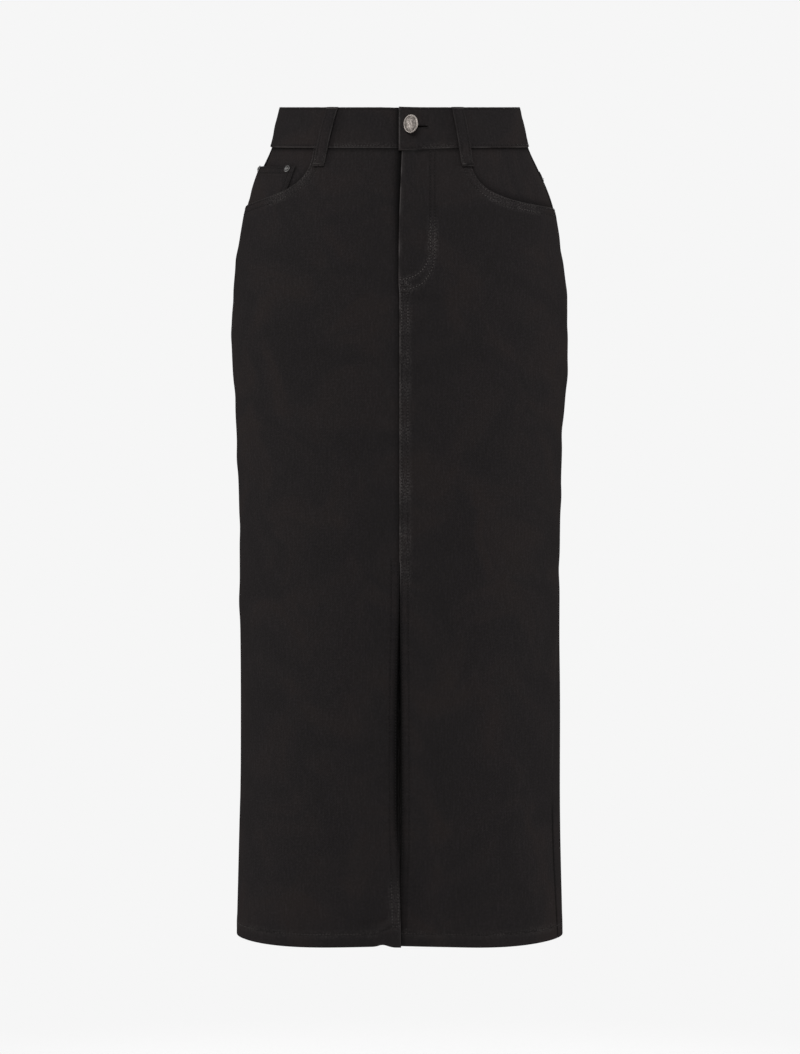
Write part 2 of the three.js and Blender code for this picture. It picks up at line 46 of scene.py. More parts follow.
studio = {
    "cameraPlace": (0.00026, -3.6, -0.42),
    "focalLength": 117.1,
    "backdrop": "#F6F6F6",
    "floorLevel": -1.06,
    "floorRadius": 1.5,
    "floorTones": ("#D6D6D6", "#DDDDDD"),
    "softboxes": [
        # name, place, aim, size across and up, power
        ("front softbox", (-0.25, -2.9, 1.6), (0, 0, -0.35), (1.4, 1.4), 82),
        ("left edge light", (-1.9, -0.1, -0.3), (0, 0, -0.45), (0.6, 2.2), 25),
        ("right edge light", (1.9, -0.1, -0.3), (0, 0, -0.45), (0.6, 2.2), 25),
        ("back softbox", (0.7, 2.8, 1.5), (0, 0, -0.35), (1.4, 1.4), 100),
    ],
}

# Cloth and sewing that every piece shares, in millimetres

cloth = 1.2
seamGap = -0.3  # joined pieces lap over each other a little, so that no light comes through
waistTop = 21
waistSeam = -21
topOfPanels = -20.6
yokeAtSide = -46
yokeAtBack = -88
flyEnd = -178
slitTop = -457
hemStitch = -832
hemEdge = -845.5
felledWide = 9.5
stitchRows = (2.0, 8.3)  # a felled seam's two rows, from its edge
felledRidges = (9.5, 10.4)  # where the step down from a felled seam begins and ends
patternStep = 2.4  # between the points of a pattern's long lines
lapDrop = 2.9  # how far the band's lapped end and the panel under it hang
lapDropFade = 62

figure = {
    # level, half the width, depth before the side line, depth behind it, squareness (2 is an ellipse)
    "rows": [
        (21, 125.2, 90, 89, 2.1),
        (0, 130.4, 93.5, 94, 2.1),
        (-21, 135.2, 97.5, 99, 2.12),
        (-46, 146.5, 102, 106.5, 2.16),
        (-66, 155.8, 104.8, 112.5, 2.18),
        (-85, 162, 107, 117, 2.2),
        (-120, 168.3, 109, 124, 2.24),
        (-165, 174, 110, 128, 2.28),
        (-215, 176.4, 110, 128.5, 2.3),
        (-265, 174.8, 109.5, 126, 2.3),
        (-325, 171, 109, 121.5, 2.32),
        (-400, 168.5, 108.5, 117, 2.35),
        (-500, 167.6, 108.5, 113.5, 2.38),
        (-620, 167.1, 108.8, 112, 2.4),
        (-740, 168.3, 110, 113, 2.42),
        (-846, 170.8, 112, 115, 2.44),
    ],
    "frontLean": 0.1225,  # the waist leans forward
    "backLean": 0.06,
    "leanEnd": -150,
    "hemDips": [(-100, 3.9), (100, 3.9)],  # across, how far down
    "hemDipWide": 78,
    "hemDipTall": 71,
    # where round the half girth, where it begins, how far out at the hem, width
    "flutes": [
        (-0.3, -430, 2.2, 34),
        (-0.16, -520, -1.6, 30),
        (0.12, -560, -2, 26),
        (0.27, -470, 1.8, 36),
        (0.66, -330, 4.5, 40),
        (0.82, -300, -5, 46),
        (0.95, -360, 3, 34),
        (-0.64, -350, 4, 42),
        (-0.79, -290, -4.5, 44),
        (-0.93, -380, 2.5, 36),
    ],
}

creaseBow = 0.12  # each runs in a slight arc

# Creases set one by one: across, level, angle from level in degrees, half length, half width, how far out
creases = [
    (24, -190, -6, 24, 5, -1.3),  # under the end of the fly
    (20, -205, -10, 30, 8, 0.7),
    (17, -60, 84, 30, 7, 0.5),  # down the fly
    (25, -112, 96, 36, 6, -0.5),
    (-62, -118, -24, 40, 7, 0.5),
    (-84, -150, -18, 46, 8, -0.6),
    (-40, -176, -14, 34, 7, 0.5),
    (66, -128, 20, 42, 8, -0.5),
    (92, -166, 15, 50, 9, 0.6),
    (128, -140, 28, 36, 9, -0.6),
    (-128, -140, -30, 34, 8, 0.6),
    (-52, -255, -8, 60, 13, -0.7),
    (74, -282, 7, 66, 14, 0.7),
    (-112, -318, -12, 50, 12, 0.8),
    (118, -352, 12, 46, 12, -0.8),
    (-34, -392, 4, 44, 10, -0.6),
    (-96, -438, 9, 56, 13, 0.7),
    (60, -446, -6, 50, 12, -0.7),
    (-20, -470, -18, 22, 6, 0.5),
    (22, -474, 16, 24, 6, -0.6),
    (-62, -560, 82, 70, 12, 0.8),
    (70, -610, 97, 84, 14, -0.8),
    (-118, -640, 92, 96, 15, -0.9),
    (122, -700, 86, 90, 14, 1.0),
    (-36, -730, 95, 66, 10, 0.7),
    (14, -800, 96, 34, 7, -1.3),  # the shadow beside the slit at the hem
    (-23, -822, 15, 22, 3.6, -1.5),  # the pucker in the slit's other corner
    (-15, -829, 24, 13, 3.6, 1.2),
    (30, -806, 80, 36, 8, 0.8),
    (-70, -806, 88, 30, 11, 0.6),
    (96, -812, 94, 28, 10, -0.6),
    # behind
    (228, -128, 10, 44, 9, -0.9),
    (256, -170, 14, 56, 11, 1.1),
    (196, -204, -12, 46, 10, -0.9),
    (-232, -136, -14, 48, 10, 1.0),
    (-262, -182, -9, 52, 10, -1.0),
    (-200, -214, 16, 42, 9, 0.8),
    (240, -262, -7, 60, 14, 1.3),
    (-246, -286, 8, 64, 14, -1.3),
    (214, -322, 12, 54, 13, -1.2),
    (-206, -352, -14, 50, 12, 1.1),
    (252, -388, 5, 56, 13, 1.1),
    (-254, -420, -6, 52, 12, -1.0),
    (232, -470, -18, 60, 13, -1.0),
    (-222, -500, 20, 64, 14, 1.0),
    (208, -600, 96, 92, 15, 1.2),
    (-212, -640, 84, 88, 15, -1.2),
    (254, -700, 92, 80, 13, -1.0),
    (-250, -730, 97, 76, 13, 1.0),
    # in the waistband
    (-104, 9, 4, 30, 5, -0.5),
    (-84, -6, -7, 26, 5, 0.4),
    (104, 2, 12, 26, 6, 0.5),
    (-28, 6, -10, 20, 5, -0.3),
    (150, 6, 8, 32, 5, -0.4),
    (-196, 3, -6, 34, 6, 0.4),
    (226, 1, 3, 30, 6, -0.4),
]


def ease(t):
    held = np.clip(t, 0.0, 1.0)
    return held * held * (3 - 2 * held)


# One column of a table at a height, on a smooth curve through its rows, which run from high to low.
def readRows(rows, column, height):
    keys = np.array([row[0] for row in rows], float)
    values = np.array([row[column] for row in rows], float)
    slopes = np.empty(len(keys))
    slopes[1:-1] = (values[2:] - values[:-2]) / (keys[2:] - keys[:-2])
    slopes[0] = (values[1] - values[0]) / (keys[1] - keys[0])
    slopes[-1] = (values[-1] - values[-2]) / (keys[-1] - keys[-2])
    held = np.clip(height, keys[-1], keys[0])
    k = np.clip(np.searchsorted(-keys, -held, side="right") - 1, 0, len(keys) - 2)
    step = keys[k + 1] - keys[k]
    t = (held - keys[k]) / step
    blend = t * t * (3 - 2 * t)
    leave = t * (1 - t) ** 2 * step * slopes[k]
    arrive = t * t * (t - 1) * step * slopes[k + 1]
    return values[k] + blend * (values[k + 1] - values[k]) + leave + arrive


# Sections of the figure every 2 mm, each from the centre front round the wearer's left to the centre back.
ringStep = 2.0
ringLevels = np.arange(25.0, -853.0, -ringStep)
ringTurn = np.linspace(0, math.pi, 481)


def cutRings():
    half, front, back, square = (readRows(figure["rows"], c, ringLevels)[:, None] for c in (1, 2, 3, 4))
    deep = np.where(ringTurn < math.pi / 2, front, back)
    shares = (np.abs(np.sin(ringTurn)) / half) ** square + (np.abs(np.cos(ringTurn)) / deep) ** square
    reach = shares ** (-1 / square)
    x, y = reach * np.sin(ringTurn), -reach * np.cos(ringTurn)
    along = np.zeros_like(x)
    along[:, 1:] = np.cumsum(np.hypot(np.diff(x), np.diff(y)), axis=1)
    return x, y, along


ringX, ringY, ringAlong = cutRings()
rowOffset = 2000.0  # keeps one ring's distances apart from the next one's in the single sorted list
sortedAlong = (ringAlong + rowOffset * np.arange(len(ringLevels))[:, None]).ravel()


def halfGirth(level):
    return np.interp(-np.asarray(level, float), -ringLevels, ringAlong[:, -1])


def quarterGirth(level):
    return np.interp(-np.asarray(level, float), -ringLevels, ringAlong[:, len(ringTurn) // 2])


# Distance round, brought to between minus and plus the half girth.
def wrapped(across, level):
    girth = halfGirth(level)
    return (across + girth) % (2 * girth) - girth


def onRing(row, far):
    wide = len(ringTurn)
    spot = np.searchsorted(sortedAlong, far + rowOffset * row) - 1
    spot = np.clip(spot, row * wide, row * wide + wide - 2)
    start = sortedAlong[spot]
    t = (far + rowOffset * row - start) / (sortedAlong[spot + 1] - start)
    x, y = ringX.ravel(), ringY.ravel()
    return x[spot] + t * (x[spot + 1] - x[spot]), y[spot] + t * (y[spot + 1] - y[spot])


def hemDrop(around, level):
    near = ease((hemEdge + figure["hemDipTall"] - level) / figure["hemDipTall"])
    wide = figure["hemDipWide"]
    down = sum(deep * np.exp(-(((around - place) / wide) ** 2)) for place, deep in figure["hemDips"])
    return near * down


# The figure's own point at each place, before the cloth is moved out.
def figurePoint(across, level):
    place = np.clip((ringLevels[0] - level) / ringStep, 0, len(ringLevels) - 1.001)
    row = place.astype(int)
    part = place - row
    girth = halfGirth(level)
    around = wrapped(across, level)
    share = np.abs(around) / girth
    x1, y1 = onRing(row, share * ringAlong[row, -1])
    x2, y2 = onRing(row + 1, share * ringAlong[row + 1, -1])
    x = x1 + part * (x2 - x1)
    y = y1 + part * (y2 - y1)
    leaning = ease((level - figure["leanEnd"]) / (waistSeam - figure["leanEnd"]))
    lean = np.where(y < 0, figure["frontLean"], figure["backLean"]) * y * leaning
    return np.stack([np.sign(around) * x, y, level + lean - hemDrop(around, level)], axis=-1)


def outward(across, level):
    round3 = figurePoint(across + 3, level) - figurePoint(across - 3, level)
    high = np.minimum(level + 2, waistTop)
    low = np.maximum(level - 2, hemEdge)
    up = figurePoint(across, high) - figurePoint(across, low)
    normal = np.cross(round3, up)
    return normal / np.linalg.norm(normal, axis=-1, keepdims=True)


# How far the flutes and the creases move the cloth out.
def softForm(across, level):
    girth = halfGirth(level)
    around = wrapped(across, level)
    out = np.zeros_like(around)
    for place, begins, tall, wide in figure["flutes"]:
        away = np.abs(around - place * girth)
        away = np.minimum(away, 2 * girth - away)
        out += tall * ease((begins - level) / (begins - hemEdge)) * np.exp(-((away / wide) ** 2))
    for place, height, angle, long, wide, tall in creases:
        turn = math.radians(angle)
        dx, dy = around - place, level - height
        u = dx * math.cos(turn) + dy * math.sin(turn)
        w = dy * math.cos(turn) - dx * math.sin(turn)
        bow = w - creaseBow * u * u / long
        out += tall * np.exp(-((u / long) ** 2) - (bow / wide) ** 2)
    return out


def clothPoint(across, level, out, sag=None):
    across, level = np.asarray(across, float), np.asarray(level, float)
    moved = out + softForm(across, level)
    points = figurePoint(across, level) + outward(across, level) * moved[..., None]
    if sag is not None:
        points[..., 2] -= sag(across, level)
    return points


# Flat patterns

spacing = {
    "closeRings": (0.4, 1.2),  # inside a piece's edge, so that it can be round
    "row": 2.2,  # along a row of stitches
    "besideRow": 1.3,
    "fromEdge": 0.9,  # how near the edge a row's points may come
    "least": 0.34,
}


# The points of a line, from their distances across and their levels. Either may be one number.
def linePoints(across, level):
    return np.stack(np.broadcast_arrays(across, level), axis=1)


# A line with points no further apart than a step.
def stepped(points, step):
    points = np.asarray(points, float)
    pieces = []
    for a, b in zip(points[:-1], points[1:]):
        count = max(1, math.ceil(np.hypot(*(b - a)) / step))
        pieces.append(a + (b - a) * np.linspace(0, 1, count, endpoint=False)[:, None])
    return np.vstack(pieces + [points[-1:]])


# A smooth line through a few points.
def curved(points, step=2.0):
    points = np.asarray(points, float)
    ends = np.vstack([2 * points[0] - points[1], points, 2 * points[-1] - points[-2]])
    line = []
    for a, b, c, d in zip(ends[:-3], ends[1:-2], ends[2:-1], ends[3:]):
        count = max(2, math.ceil(np.hypot(*(c - b)) / step))
        t = np.linspace(0, 1, count, endpoint=False)[:, None]
        square, cube = 2 * a - 5 * b + 4 * c - d, 3 * b - a - 3 * c + d
        line.append(0.5 * (2 * b + (c - a) * t + square * t**2 + cube * t**3))
    return np.vstack(line + [points[-1:]])


# Square to each direction of a line, on its left.
def leftOf(way):
    way = way / np.linalg.norm(way, axis=1, keepdims=True)
    return linePoints(-way[:, 1], way[:, 0])


# A line moved sideways, to the left of its direction where the distance is positive.
def besideLine(points, distance):
    return points + distance * leftOf(np.gradient(points, axis=0))


def insideLoop(points, loop):
    x, y = points.T
    inside = np.zeros(len(points), bool)
    for (x1, y1), (x2, y2) in zip(loop, np.roll(loop, -1, axis=0)):
        if y1 != y2:
            inside ^= ((y1 > y) != (y2 > y)) & (x < (x2 - x1) * (y - y1) / (y2 - y1) + x1)
    return inside


def loopArea(loop):
    x, y = loop.T
    return 0.5 * float(np.sum(x * np.roll(y, -1) - np.roll(x, -1) * y))


def treeOf(points):
    tree = kdtree.KDTree(len(points))
    for i, (x, y) in enumerate(points):
        tree.insert((x, y, 0), i)
    tree.balance()
    return tree


# For each point, how near the closest point of the tree is, and which one it is.
def nearest(tree, points):
    found = [tree.find((x, y, 0)) for x, y in points]
    return np.array([f[2] for f in found]), np.array([f[1] for f in found])


# The points that lie further than that from every point of the tree.
def awayFrom(tree, points, far):
    return points[nearest(tree, points)[0] > far]


# Leaves out points that lie too close to one before them. The first ones, on the edge, all stay.
def thinned(points, apart, kept):
    cells = {}
    chosen = []
    for i, (x, y) in enumerate(points):
        key = (int(x // apart), int(y // apart))
        around = ((key[0] + dx, key[1] + dy) for dx in (-1, 0, 1) for dy in (-1, 0, 1))
        near = any((x - p) ** 2 + (y - q) ** 2 < apart * apart for k in around for p, q in cells.get(k, ()))
        if i < kept or not near:
            cells.setdefault(key, []).append((x, y))
            chosen.append(i)
    return points[chosen]


# Covers a pattern piece with even triangles. Its first loop is its edge, and the others are holes. Lines that
# shape the cloth, such as rows of stitches, get points of their own. So do two close rings inside the edge.
def triangulate(loops, lines, step):
    rims = [loop[::-1] if (loopArea(loop) < 0) == (i == 0) else loop for i, loop in enumerate(loops)]
    edges = np.vstack(rims)
    edgeTree = treeOf(edges)
    shaping = []
    for loop in rims:
        normal = leftOf(np.roll(loop, -1, axis=0) - np.roll(loop, 1, axis=0))
        shaping += [awayFrom(edgeTree, loop + normal * far, 0.8 * far) for far in spacing["closeRings"]]
    shaping += [awayFrom(edgeTree, line, spacing["fromEdge"]) for line in lines]
    fixed = np.vstack([edges] + [points[insideLoop(points, rims[0])] for points in shaping])
    fixed = thinned(fixed, spacing["least"], len(edges))
    low, high = rims[0].min(axis=0), rims[0].max(axis=0)
    across, level = np.meshgrid(np.arange(low[0], high[0], step), np.arange(low[1], high[1], step * 0.87))
    across = across + (np.arange(len(level))[:, None] % 2) * step / 2
    grid = linePoints(across.ravel(), level.ravel())
    grid = awayFrom(treeOf(fixed), grid[insideLoop(grid, rims[0])], 0.62 * step)
    counts = [len(loop) for loop in rims]
    starts = np.cumsum([0] + counts[:-1])
    links = [
        (int(start + k), int(start + (k + 1) % count))
        for start, count in zip(starts[1:], counts[1:])
        for k in range(count)
    ]
    points = [Vector(p) for p in np.vstack([fixed, grid])]
    flat, _, faces, _, _, _ = geometry.delaunay_2d_cdt(points, links, [list(range(counts[0]))], 1, 1e-5)
    flat = np.array([tuple(p) for p in flat])
    faces = np.array([f for f in faces if len(f) == 3])
    a, b, c = flat[faces[:, 0]], flat[faces[:, 1]], flat[faces[:, 2]]
    turning = (b[:, 0] - a[:, 0]) * (c[:, 1] - a[:, 1]) - (b[:, 1] - a[:, 1]) * (c[:, 0] - a[:, 0])
    faces[turning < 0] = faces[turning < 0][:, ::-1]
    keep = np.abs(turning) > 1e-7
    for loop in rims[1:]:
        keep &= ~insideLoop((a + b + c) / 3, loop)
    return flat, faces[keep], edges


# Sewing: how rows of stitches pull the cloth in, and pucker it beside them

sewing = {
    "grooveDeep": 0.45,
    "grooveWide": 0.9,
    "puckerTall": 0.3,
    "puckerReach": 5.5,
    "puckerEvery": 9.5,
    "nextPair": 37,  # how much further along the puckers of the next pair of rows begin
    "rimRound": 0.75,
    # how wide the wear and painted highlight along an edge spreads
    "rimWearAndHighlight": 0.9,
    "rowWorn": 2.8,
}


def stitchRelief(rows, points):
    if not rows:
        return np.zeros(len(points)), np.full(len(points), 1e3)
    samples = [stepped(row, 0.7) for row in rows]
    arcs = []
    for number, row in enumerate(samples):
        along = np.concatenate([[0], np.cumsum(np.hypot(*np.diff(row, axis=0).T))])
        arcs.append(along + sewing["nextPair"] * (number // 2))
    far, which = nearest(treeOf(np.vstack(samples)), points)
    arc = np.concatenate(arcs)[which]
    pace = 2 * math.pi / sewing["puckerEvery"]
    uneven = 1.7 * np.sin(arc * 0.113)
    strength = 0.62 + 0.38 * np.sin(arc * 0.071 + 2)
    wave = np.sin(arc * pace + uneven) * strength
    pucker = wave * np.exp(-((far / sewing["puckerReach"]) ** 2))
    groove = -sewing["grooveDeep"] * np.exp(-((far / sewing["grooveWide"]) ** 2))
    return groove + sewing["puckerTall"] * pucker, far


def oneLayer(across, level):
    return np.ones_like(level)


# 1 on a felled seam, a facing or the hem, down to 0 just past it.
def onFelled(fromEdge, fade=0.9):
    return 1 - ease((fromEdge - felledWide) / fade)


def onHem(level):
    return 1 - ease((level - hemStitch) / 1.5)


def hemRow(first, last):
    return linePoints(np.arange(first + 1, last - 1, patternStep), hemStitch - 0.5)


stitchPaths = []


# Makes a piece of cloth from its flat pattern: outer(across, level) gives how far its outer face stands out,
# layers(across, level) how many thicknesses it has, sag(across, level) how far it hangs below its level and
# cut(across, level) where it lies in a cut strip that isn't laid out as the rest is. Its wear and painted
# light, given by across and level, tell how much its edges and rows of stitches show wear, with painted
# highlight along some edges, and how much painted shade darkens it where another piece overlaps or
# shadows it. A hand of -1 mirrors the pattern to the wearer's right.
def sewPiece(
    name, outline, outer, layers=oneLayer, rows=(), ridges=(), holes=(), hand=1, step=3.0, thick=cloth,
    sag=None, cut=lambda across, level: (across, level), wearAndPaintedLight=lambda across, level: (0.25, 0.3, 0),
):
    signed = np.array([hand, 1])
    rows = [np.asarray(row, float) * signed for row in rows]
    sampled = [stepped(row, spacing["row"]) for row in rows]
    lines = sampled + [stepped(ridge * signed, patternStep) for ridge in ridges]
    for row in sampled:
        lines += [besideLine(row, spacing["besideRow"]), besideLine(row, -spacing["besideRow"])]
    loops = [stepped(np.vstack([loop, loop[:1]]), patternStep)[:-1] for loop in (outline * signed, *holes)]
    flat, faces, edges = triangulate(loops, lines, step)
    rimFar, _ = nearest(treeOf(edges), flat)
    pairs = np.sort(np.vstack([faces[:, [0, 1]], faces[:, [1, 2]], faces[:, [2, 0]]]), axis=1)
    unique, counts = np.unique(pairs, axis=0, return_counts=True)
    onEdge = np.zeros(len(flat), bool)
    onEdge[unique[counts == 1].ravel()] = True
    across, level = flat.T
    relief, rowFar = stitchRelief(rows, flat)
    half = thick * layers(across, level) / 2
    inRim = 1 - np.clip(rimFar / sewing["rimRound"], 0, 1)
    roundness = np.where(onEdge, 0, np.sqrt(1 - inRim ** 2))
    middle = outer(across, level) + relief - half
    frontOut = middle + half * roundness
    backOut = np.minimum(middle - half * roundness, frontOut - np.where(onEdge, 0, 0.02))
    frontPoints = clothPoint(across, level, frontOut, sag)
    backPoints = clothPoint(across, level, backOut, sag)[~onEdge]
    backNumber = np.where(onEdge, np.arange(len(flat)), len(flat) + np.cumsum(~onEdge) - 1)
    points = np.vstack([frontPoints, backPoints]) / 1000
    triangles = np.vstack([faces, backNumber[faces][:, ::-1]])

    def bothFaces(values):
        return np.concatenate([values, values[~onEdge]])

    onRim, onRows, paintedShade = (np.broadcast_to(values, len(flat)) for values in wearAndPaintedLight(across, level))
    marks = {
        # wear, with painted highlight, along the edges
        "edge": bothFaces(onRim * np.exp(-((rimFar / sewing["rimWearAndHighlight"]) ** 2))),
        # painted shade in each stitch row's groove
        "row": bothFaces(np.exp(-((rowFar / sewing["grooveWide"]) ** 2))),
        "sewn": bothFaces(onRows * np.exp(-((rowFar / sewing["rowWorn"]) ** 4))),
        # painted shade where pieces overlap, in seams and under edges
        "paintedShade": bothFaces(paintedShade),
        "inside": np.concatenate([np.zeros(len(flat)), np.ones(len(backPoints))]),
    }
    places = bothFaces(linePoints(*cut(across, level))) / 1000
    piece = meshPiece(name, points, triangles, places, marks)
    edge, *cutHoles = [linePoints(*cut(*loop.T)) for loop in loops]
    area = (abs(loopArea(edge)) - sum(abs(loopArea(hole)) for hole in cutHoles)) / 1e6
    for row in rows:
        stitchPaths.append(threadPath(stepped(row, 1.2), outer, rows, sag, wearAndPaintedLight, name))
    return piece, np.ptp(edge, axis=0) / 1000, area


# A line of stitches on a piece, with what the thread needs to lie on its cloth and to be rubbed with it.
def threadPath(line, outer, rows=(), sag=None, wearAndPaintedLight=None, name=""):
    return {"line": line, "outer": outer, "rows": rows, "sag": sag, "wearAndPaintedLight": wearAndPaintedLight, "name": name}


def addObject(name, data):
    made = bpy.data.objects.new(name, data)
    bpy.context.scene.collection.objects.link(made)
    return made


# A mesh with its flat pattern as its UV map, and its marks for the cloth's colour as attributes.
def meshPiece(name, points, triangles, places, marks):
    mesh = bpy.data.meshes.new(name)
    mesh.vertices.add(len(points))
    mesh.vertices.foreach_set("co", points.ravel())
    mesh.loops.add(triangles.size)
    mesh.loops.foreach_set("vertex_index", triangles.ravel())
    mesh.polygons.add(len(triangles))
    mesh.polygons.foreach_set("loop_start", np.arange(0, triangles.size, 3))
    mesh.update(calc_edges=True)
    mesh.polygons.foreach_set("use_smooth", np.ones(len(triangles), bool))
    layer = mesh.uv_layers.new(name="cut")
    layer.data.foreach_set("uv", places[triangles.ravel()].ravel())
    for mark, values in marks.items():
        mesh.attributes.new(mark, "FLOAT", "POINT").data.foreach_set("value", values)
    mesh.validate()
    return addObject(name, mesh)


# Everything rides on the root. A piece that stands in for a solid names its node.
def handOver(piece, node=None):
    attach(piece, "root")
    if node:
        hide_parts(node)


# Colours and materials


def linearColour(code):
    channels = [int(code[i : i + 2], 16) / 255 for i in (1, 3, 5)]
    return tuple(c / 12.92 if c <= 0.04045 else ((c + 0.055) / 1.055) ** 2.4 for c in channels) + (1.0,)


# Adds a node with its settings, and its inputs as values or links. A node given as an input is linked from
# its first output.
def addNode(tree, kind, inputs=None, **settings):
    node = tree.nodes.new(kind)
    for setting, value in settings.items():
        setattr(node, setting, value)
    for key, value in (inputs or {}).items():
        if isinstance(value, bpy.types.Node):
            value = value.outputs[0]
        if isinstance(value, bpy.types.NodeSocket):
            tree.links.new(value, node.inputs[key])
        else:
            node.inputs[key].default_value = value
    return node


# A material whose surface is the last node that build makes.
def makeMaterial(name, build, *given):
    material = bpy.data.materials.new(name)
    material.use_nodes = True
    tree = material.node_tree
    tree.nodes.clear()
    addNode(tree, "ShaderNodeOutputMaterial", {"Surface": build(tree, *given)})
    return material


# A wave texture's scale for one wave a metre
diagonalWave = 0.62832
straightWave = 0.31416

denimLook = {
    "tones": {
        "warp": "#121111",  # sulphur-black warp, on the face
        "weft": "#2B2829",  # the paler weft that glints between
        # the washed tone is also the painted highlight along some edges
        "washed": "#4E4B4A",  # where edges and rows are rubbed
        # near black, for the painted shade
        "paintedShadeTone": "#070707",
        "insideCloth": "#191818",
        "brownCast": "#201A17",
    },
    "sheen": "#B9A9A0",
    "twillPitch": 1.3,  # real lines lie 0.8 mm apart, too fine to show, so they are drawn coarser
    "slubLong": 16,
    "slubWide": 1.6,
    # size in mm, detail, roughness, distortion
    "noises": {
        "fleck": (2.1, 4, 0.75, 0.0),
        "cloud": (70, 4, 0.55, 0.6),
        "patch": (44, 2, 0.5, 0.3),  # how soon the rubbed places come and go
        "speck": (1.5, 2, 0.6, 0.0),
    },
    # what is made of each pattern: its source, where it begins and ends, the least and the most of it
    "curves": {
        "twillShows": ("twill", 0.1, 0.95, 0.08, 0.3),
        "fleckShows": ("fleck", 0.4, 0.75, 0.0, 0.26),
        "slubShows": ("slub", 0.42, 0.78, 0.0, 0.12),
        "cloudDulls": ("cloud", 0.3, 0.72, 0.7, 1.0),
        "brownShows": ("cloud", 0.42, 0.75, 0.0, 0.24),
        "speckShows": ("speck", 0.46, 0.62, 0.0, 1.0),
        "speckGathers": ("patch", 0.4, 0.62, 0.45, 1.0),
        "edgeGathers": ("patch", 0.36, 0.6, 0.1, 0.55),
    },
    # result, how, first, second
    "sums": [
        ("weftShows", "ADD", "twillShows", "fleckShows"),
        ("weftShows", "ADD", "weftShows", "slubShows"),
        ("weftShows", "MULTIPLY", "weftShows", "cloudDulls"),
        ("speckShows", "MULTIPLY", "speckShows", "speckGathers"),
        ("speckShows", "MULTIPLY", "speckShows", 0.34),
        ("speckShows", "MULTIPLY", "sewn", "speckShows"),
        # edge: wear with painted highlight along edges, thinned by patches
        ("edge", "MULTIPLY", "edge", "edgeGathers"),
        ("wearAndPaintedLight", "ADD", "speckShows", "edge"),
        # row: painted shade in each stitch row's groove
        ("row", "MULTIPLY", "row", 0.45),
    ],
    # result, how much of the second tone shows, first tone, second tone
    "mixes": [
        ("lining", "weftShows", "insideCloth", "washed"),
        ("face", "weftShows", "warp", "weft"),
        ("face", "brownShows", "face", "brownCast"),
        # specks and edges lighten to the washed tone: wear, with painted highlight on edges
        ("face", "wearAndPaintedLight", "face", "washed"),
        ("face", "row", "face", "warp"),
        ("face", "inside", "face", "lining"),
        # painted shade: the cloth darkened towards near black where pieces overlap, in grooves and under
        # edges
        ("face", "paintedShade", "face", "paintedShadeTone"),
    ],
    "roughness": 0.86,
}


# Washed black denim: 3/1 twill, cotton, sulphur dyed. Matt, with a faint diagonal, pale slubs along the warp,
# and specks where the wash has rubbed its edges and its rows of stitches. Painted highlight lightens
# some edges with the rubbed tone; painted shade darkens the stitch grooves, and the cloth where pieces
# overlap, in the side seams and under edges.
def washedBlackDenim(tree):
    look = denimLook
    cut = addNode(tree, "ShaderNodeUVMap", uv_map="cut")
    mirrored = addNode(tree, "ShaderNodeMapping", {"Vector": cut, "Scale": (-1, 1, 1)})
    scale = diagonalWave / (look["twillPitch"] * math.sqrt(2) / 1000)
    waves = {"Vector": mirrored, "Scale": scale, "Distortion": 0.9, "Detail": 2, "Detail Scale": 2.2}
    twill = addNode(tree, "ShaderNodeTexWave", waves, bands_direction="DIAGONAL").outputs["Fac"]
    slubCells = (1000 / look["slubWide"], 1000 / look["slubLong"], 1)
    stretched = addNode(tree, "ShaderNodeMapping", {"Vector": cut, "Scale": slubCells})
    slub = {"Vector": stretched, "Scale": 1, "Detail": 3, "Roughness": 0.6, "Distortion": 0.0}
    made = {"twill": twill}
    made["slub"] = addNode(tree, "ShaderNodeTexNoise", slub, noise_dimensions="2D")
    for name, (size, detail, roughness, distortion) in look["noises"].items():
        values = {"Vector": cut, "Scale": 1000 / size, "Detail": detail, "Roughness": roughness}
        values["Distortion"] = distortion
        made[name] = addNode(tree, "ShaderNodeTexNoise", values, noise_dimensions="2D")
    for name, (source, low, high, least, most) in look["curves"].items():
        values = {"Value": made[source], "From Min": low, "From Max": high, "To Min": least, "To Max": most}
        curve = addNode(tree, "ShaderNodeMapRange", values, interpolation_type="SMOOTHSTEP")
        made[name] = curve
    for name in ("edge", "row", "sewn", "paintedShade", "inside"):
        made[name] = addNode(tree, "ShaderNodeAttribute", attribute_name=name).outputs["Fac"]
    for name, operation, first, second in look["sums"]:
        values = {0: made[first], 1: made.get(second, second)}
        made[name] = addNode(tree, "ShaderNodeMath", values, operation=operation, use_clamp=True)
    tones = {name: linearColour(code) for name, code in look["tones"].items()}
    for name, factor, first, second in look["mixes"]:
        values = {0: made[factor], 6: tones[first], 7: tones[second]}
        tones[name] = addNode(tree, "ShaderNodeMix", values, data_type="RGBA").outputs[2]
    height = addNode(tree, "ShaderNodeMath", {0: twill, 1: 0.5, 2: made["fleck"]}, operation="MULTIPLY_ADD")
    height = addNode(tree, "ShaderNodeMath", {0: made["slub"], 1: height}, operation="ADD")
    bump = addNode(tree, "ShaderNodeBump", {"Height": height, "Strength": 0.5, "Distance": 0.0003})
    return addNode(
        tree, "ShaderNodeBsdfPrincipled",
        {
            "Base Color": tones["face"], "Roughness": look["roughness"], "Specular IOR Level": 0.0,
            "Sheen Weight": 0.01, "Sheen Roughness": 0.5, "Sheen Tint": linearColour(look["sheen"]),
            "Normal": bump,
        },
    )


threadLook = {"dark": "#171515", "light": "#3B3837", "patchSize": 30, "twistPitch": 0.7, "roughness": 0.8}


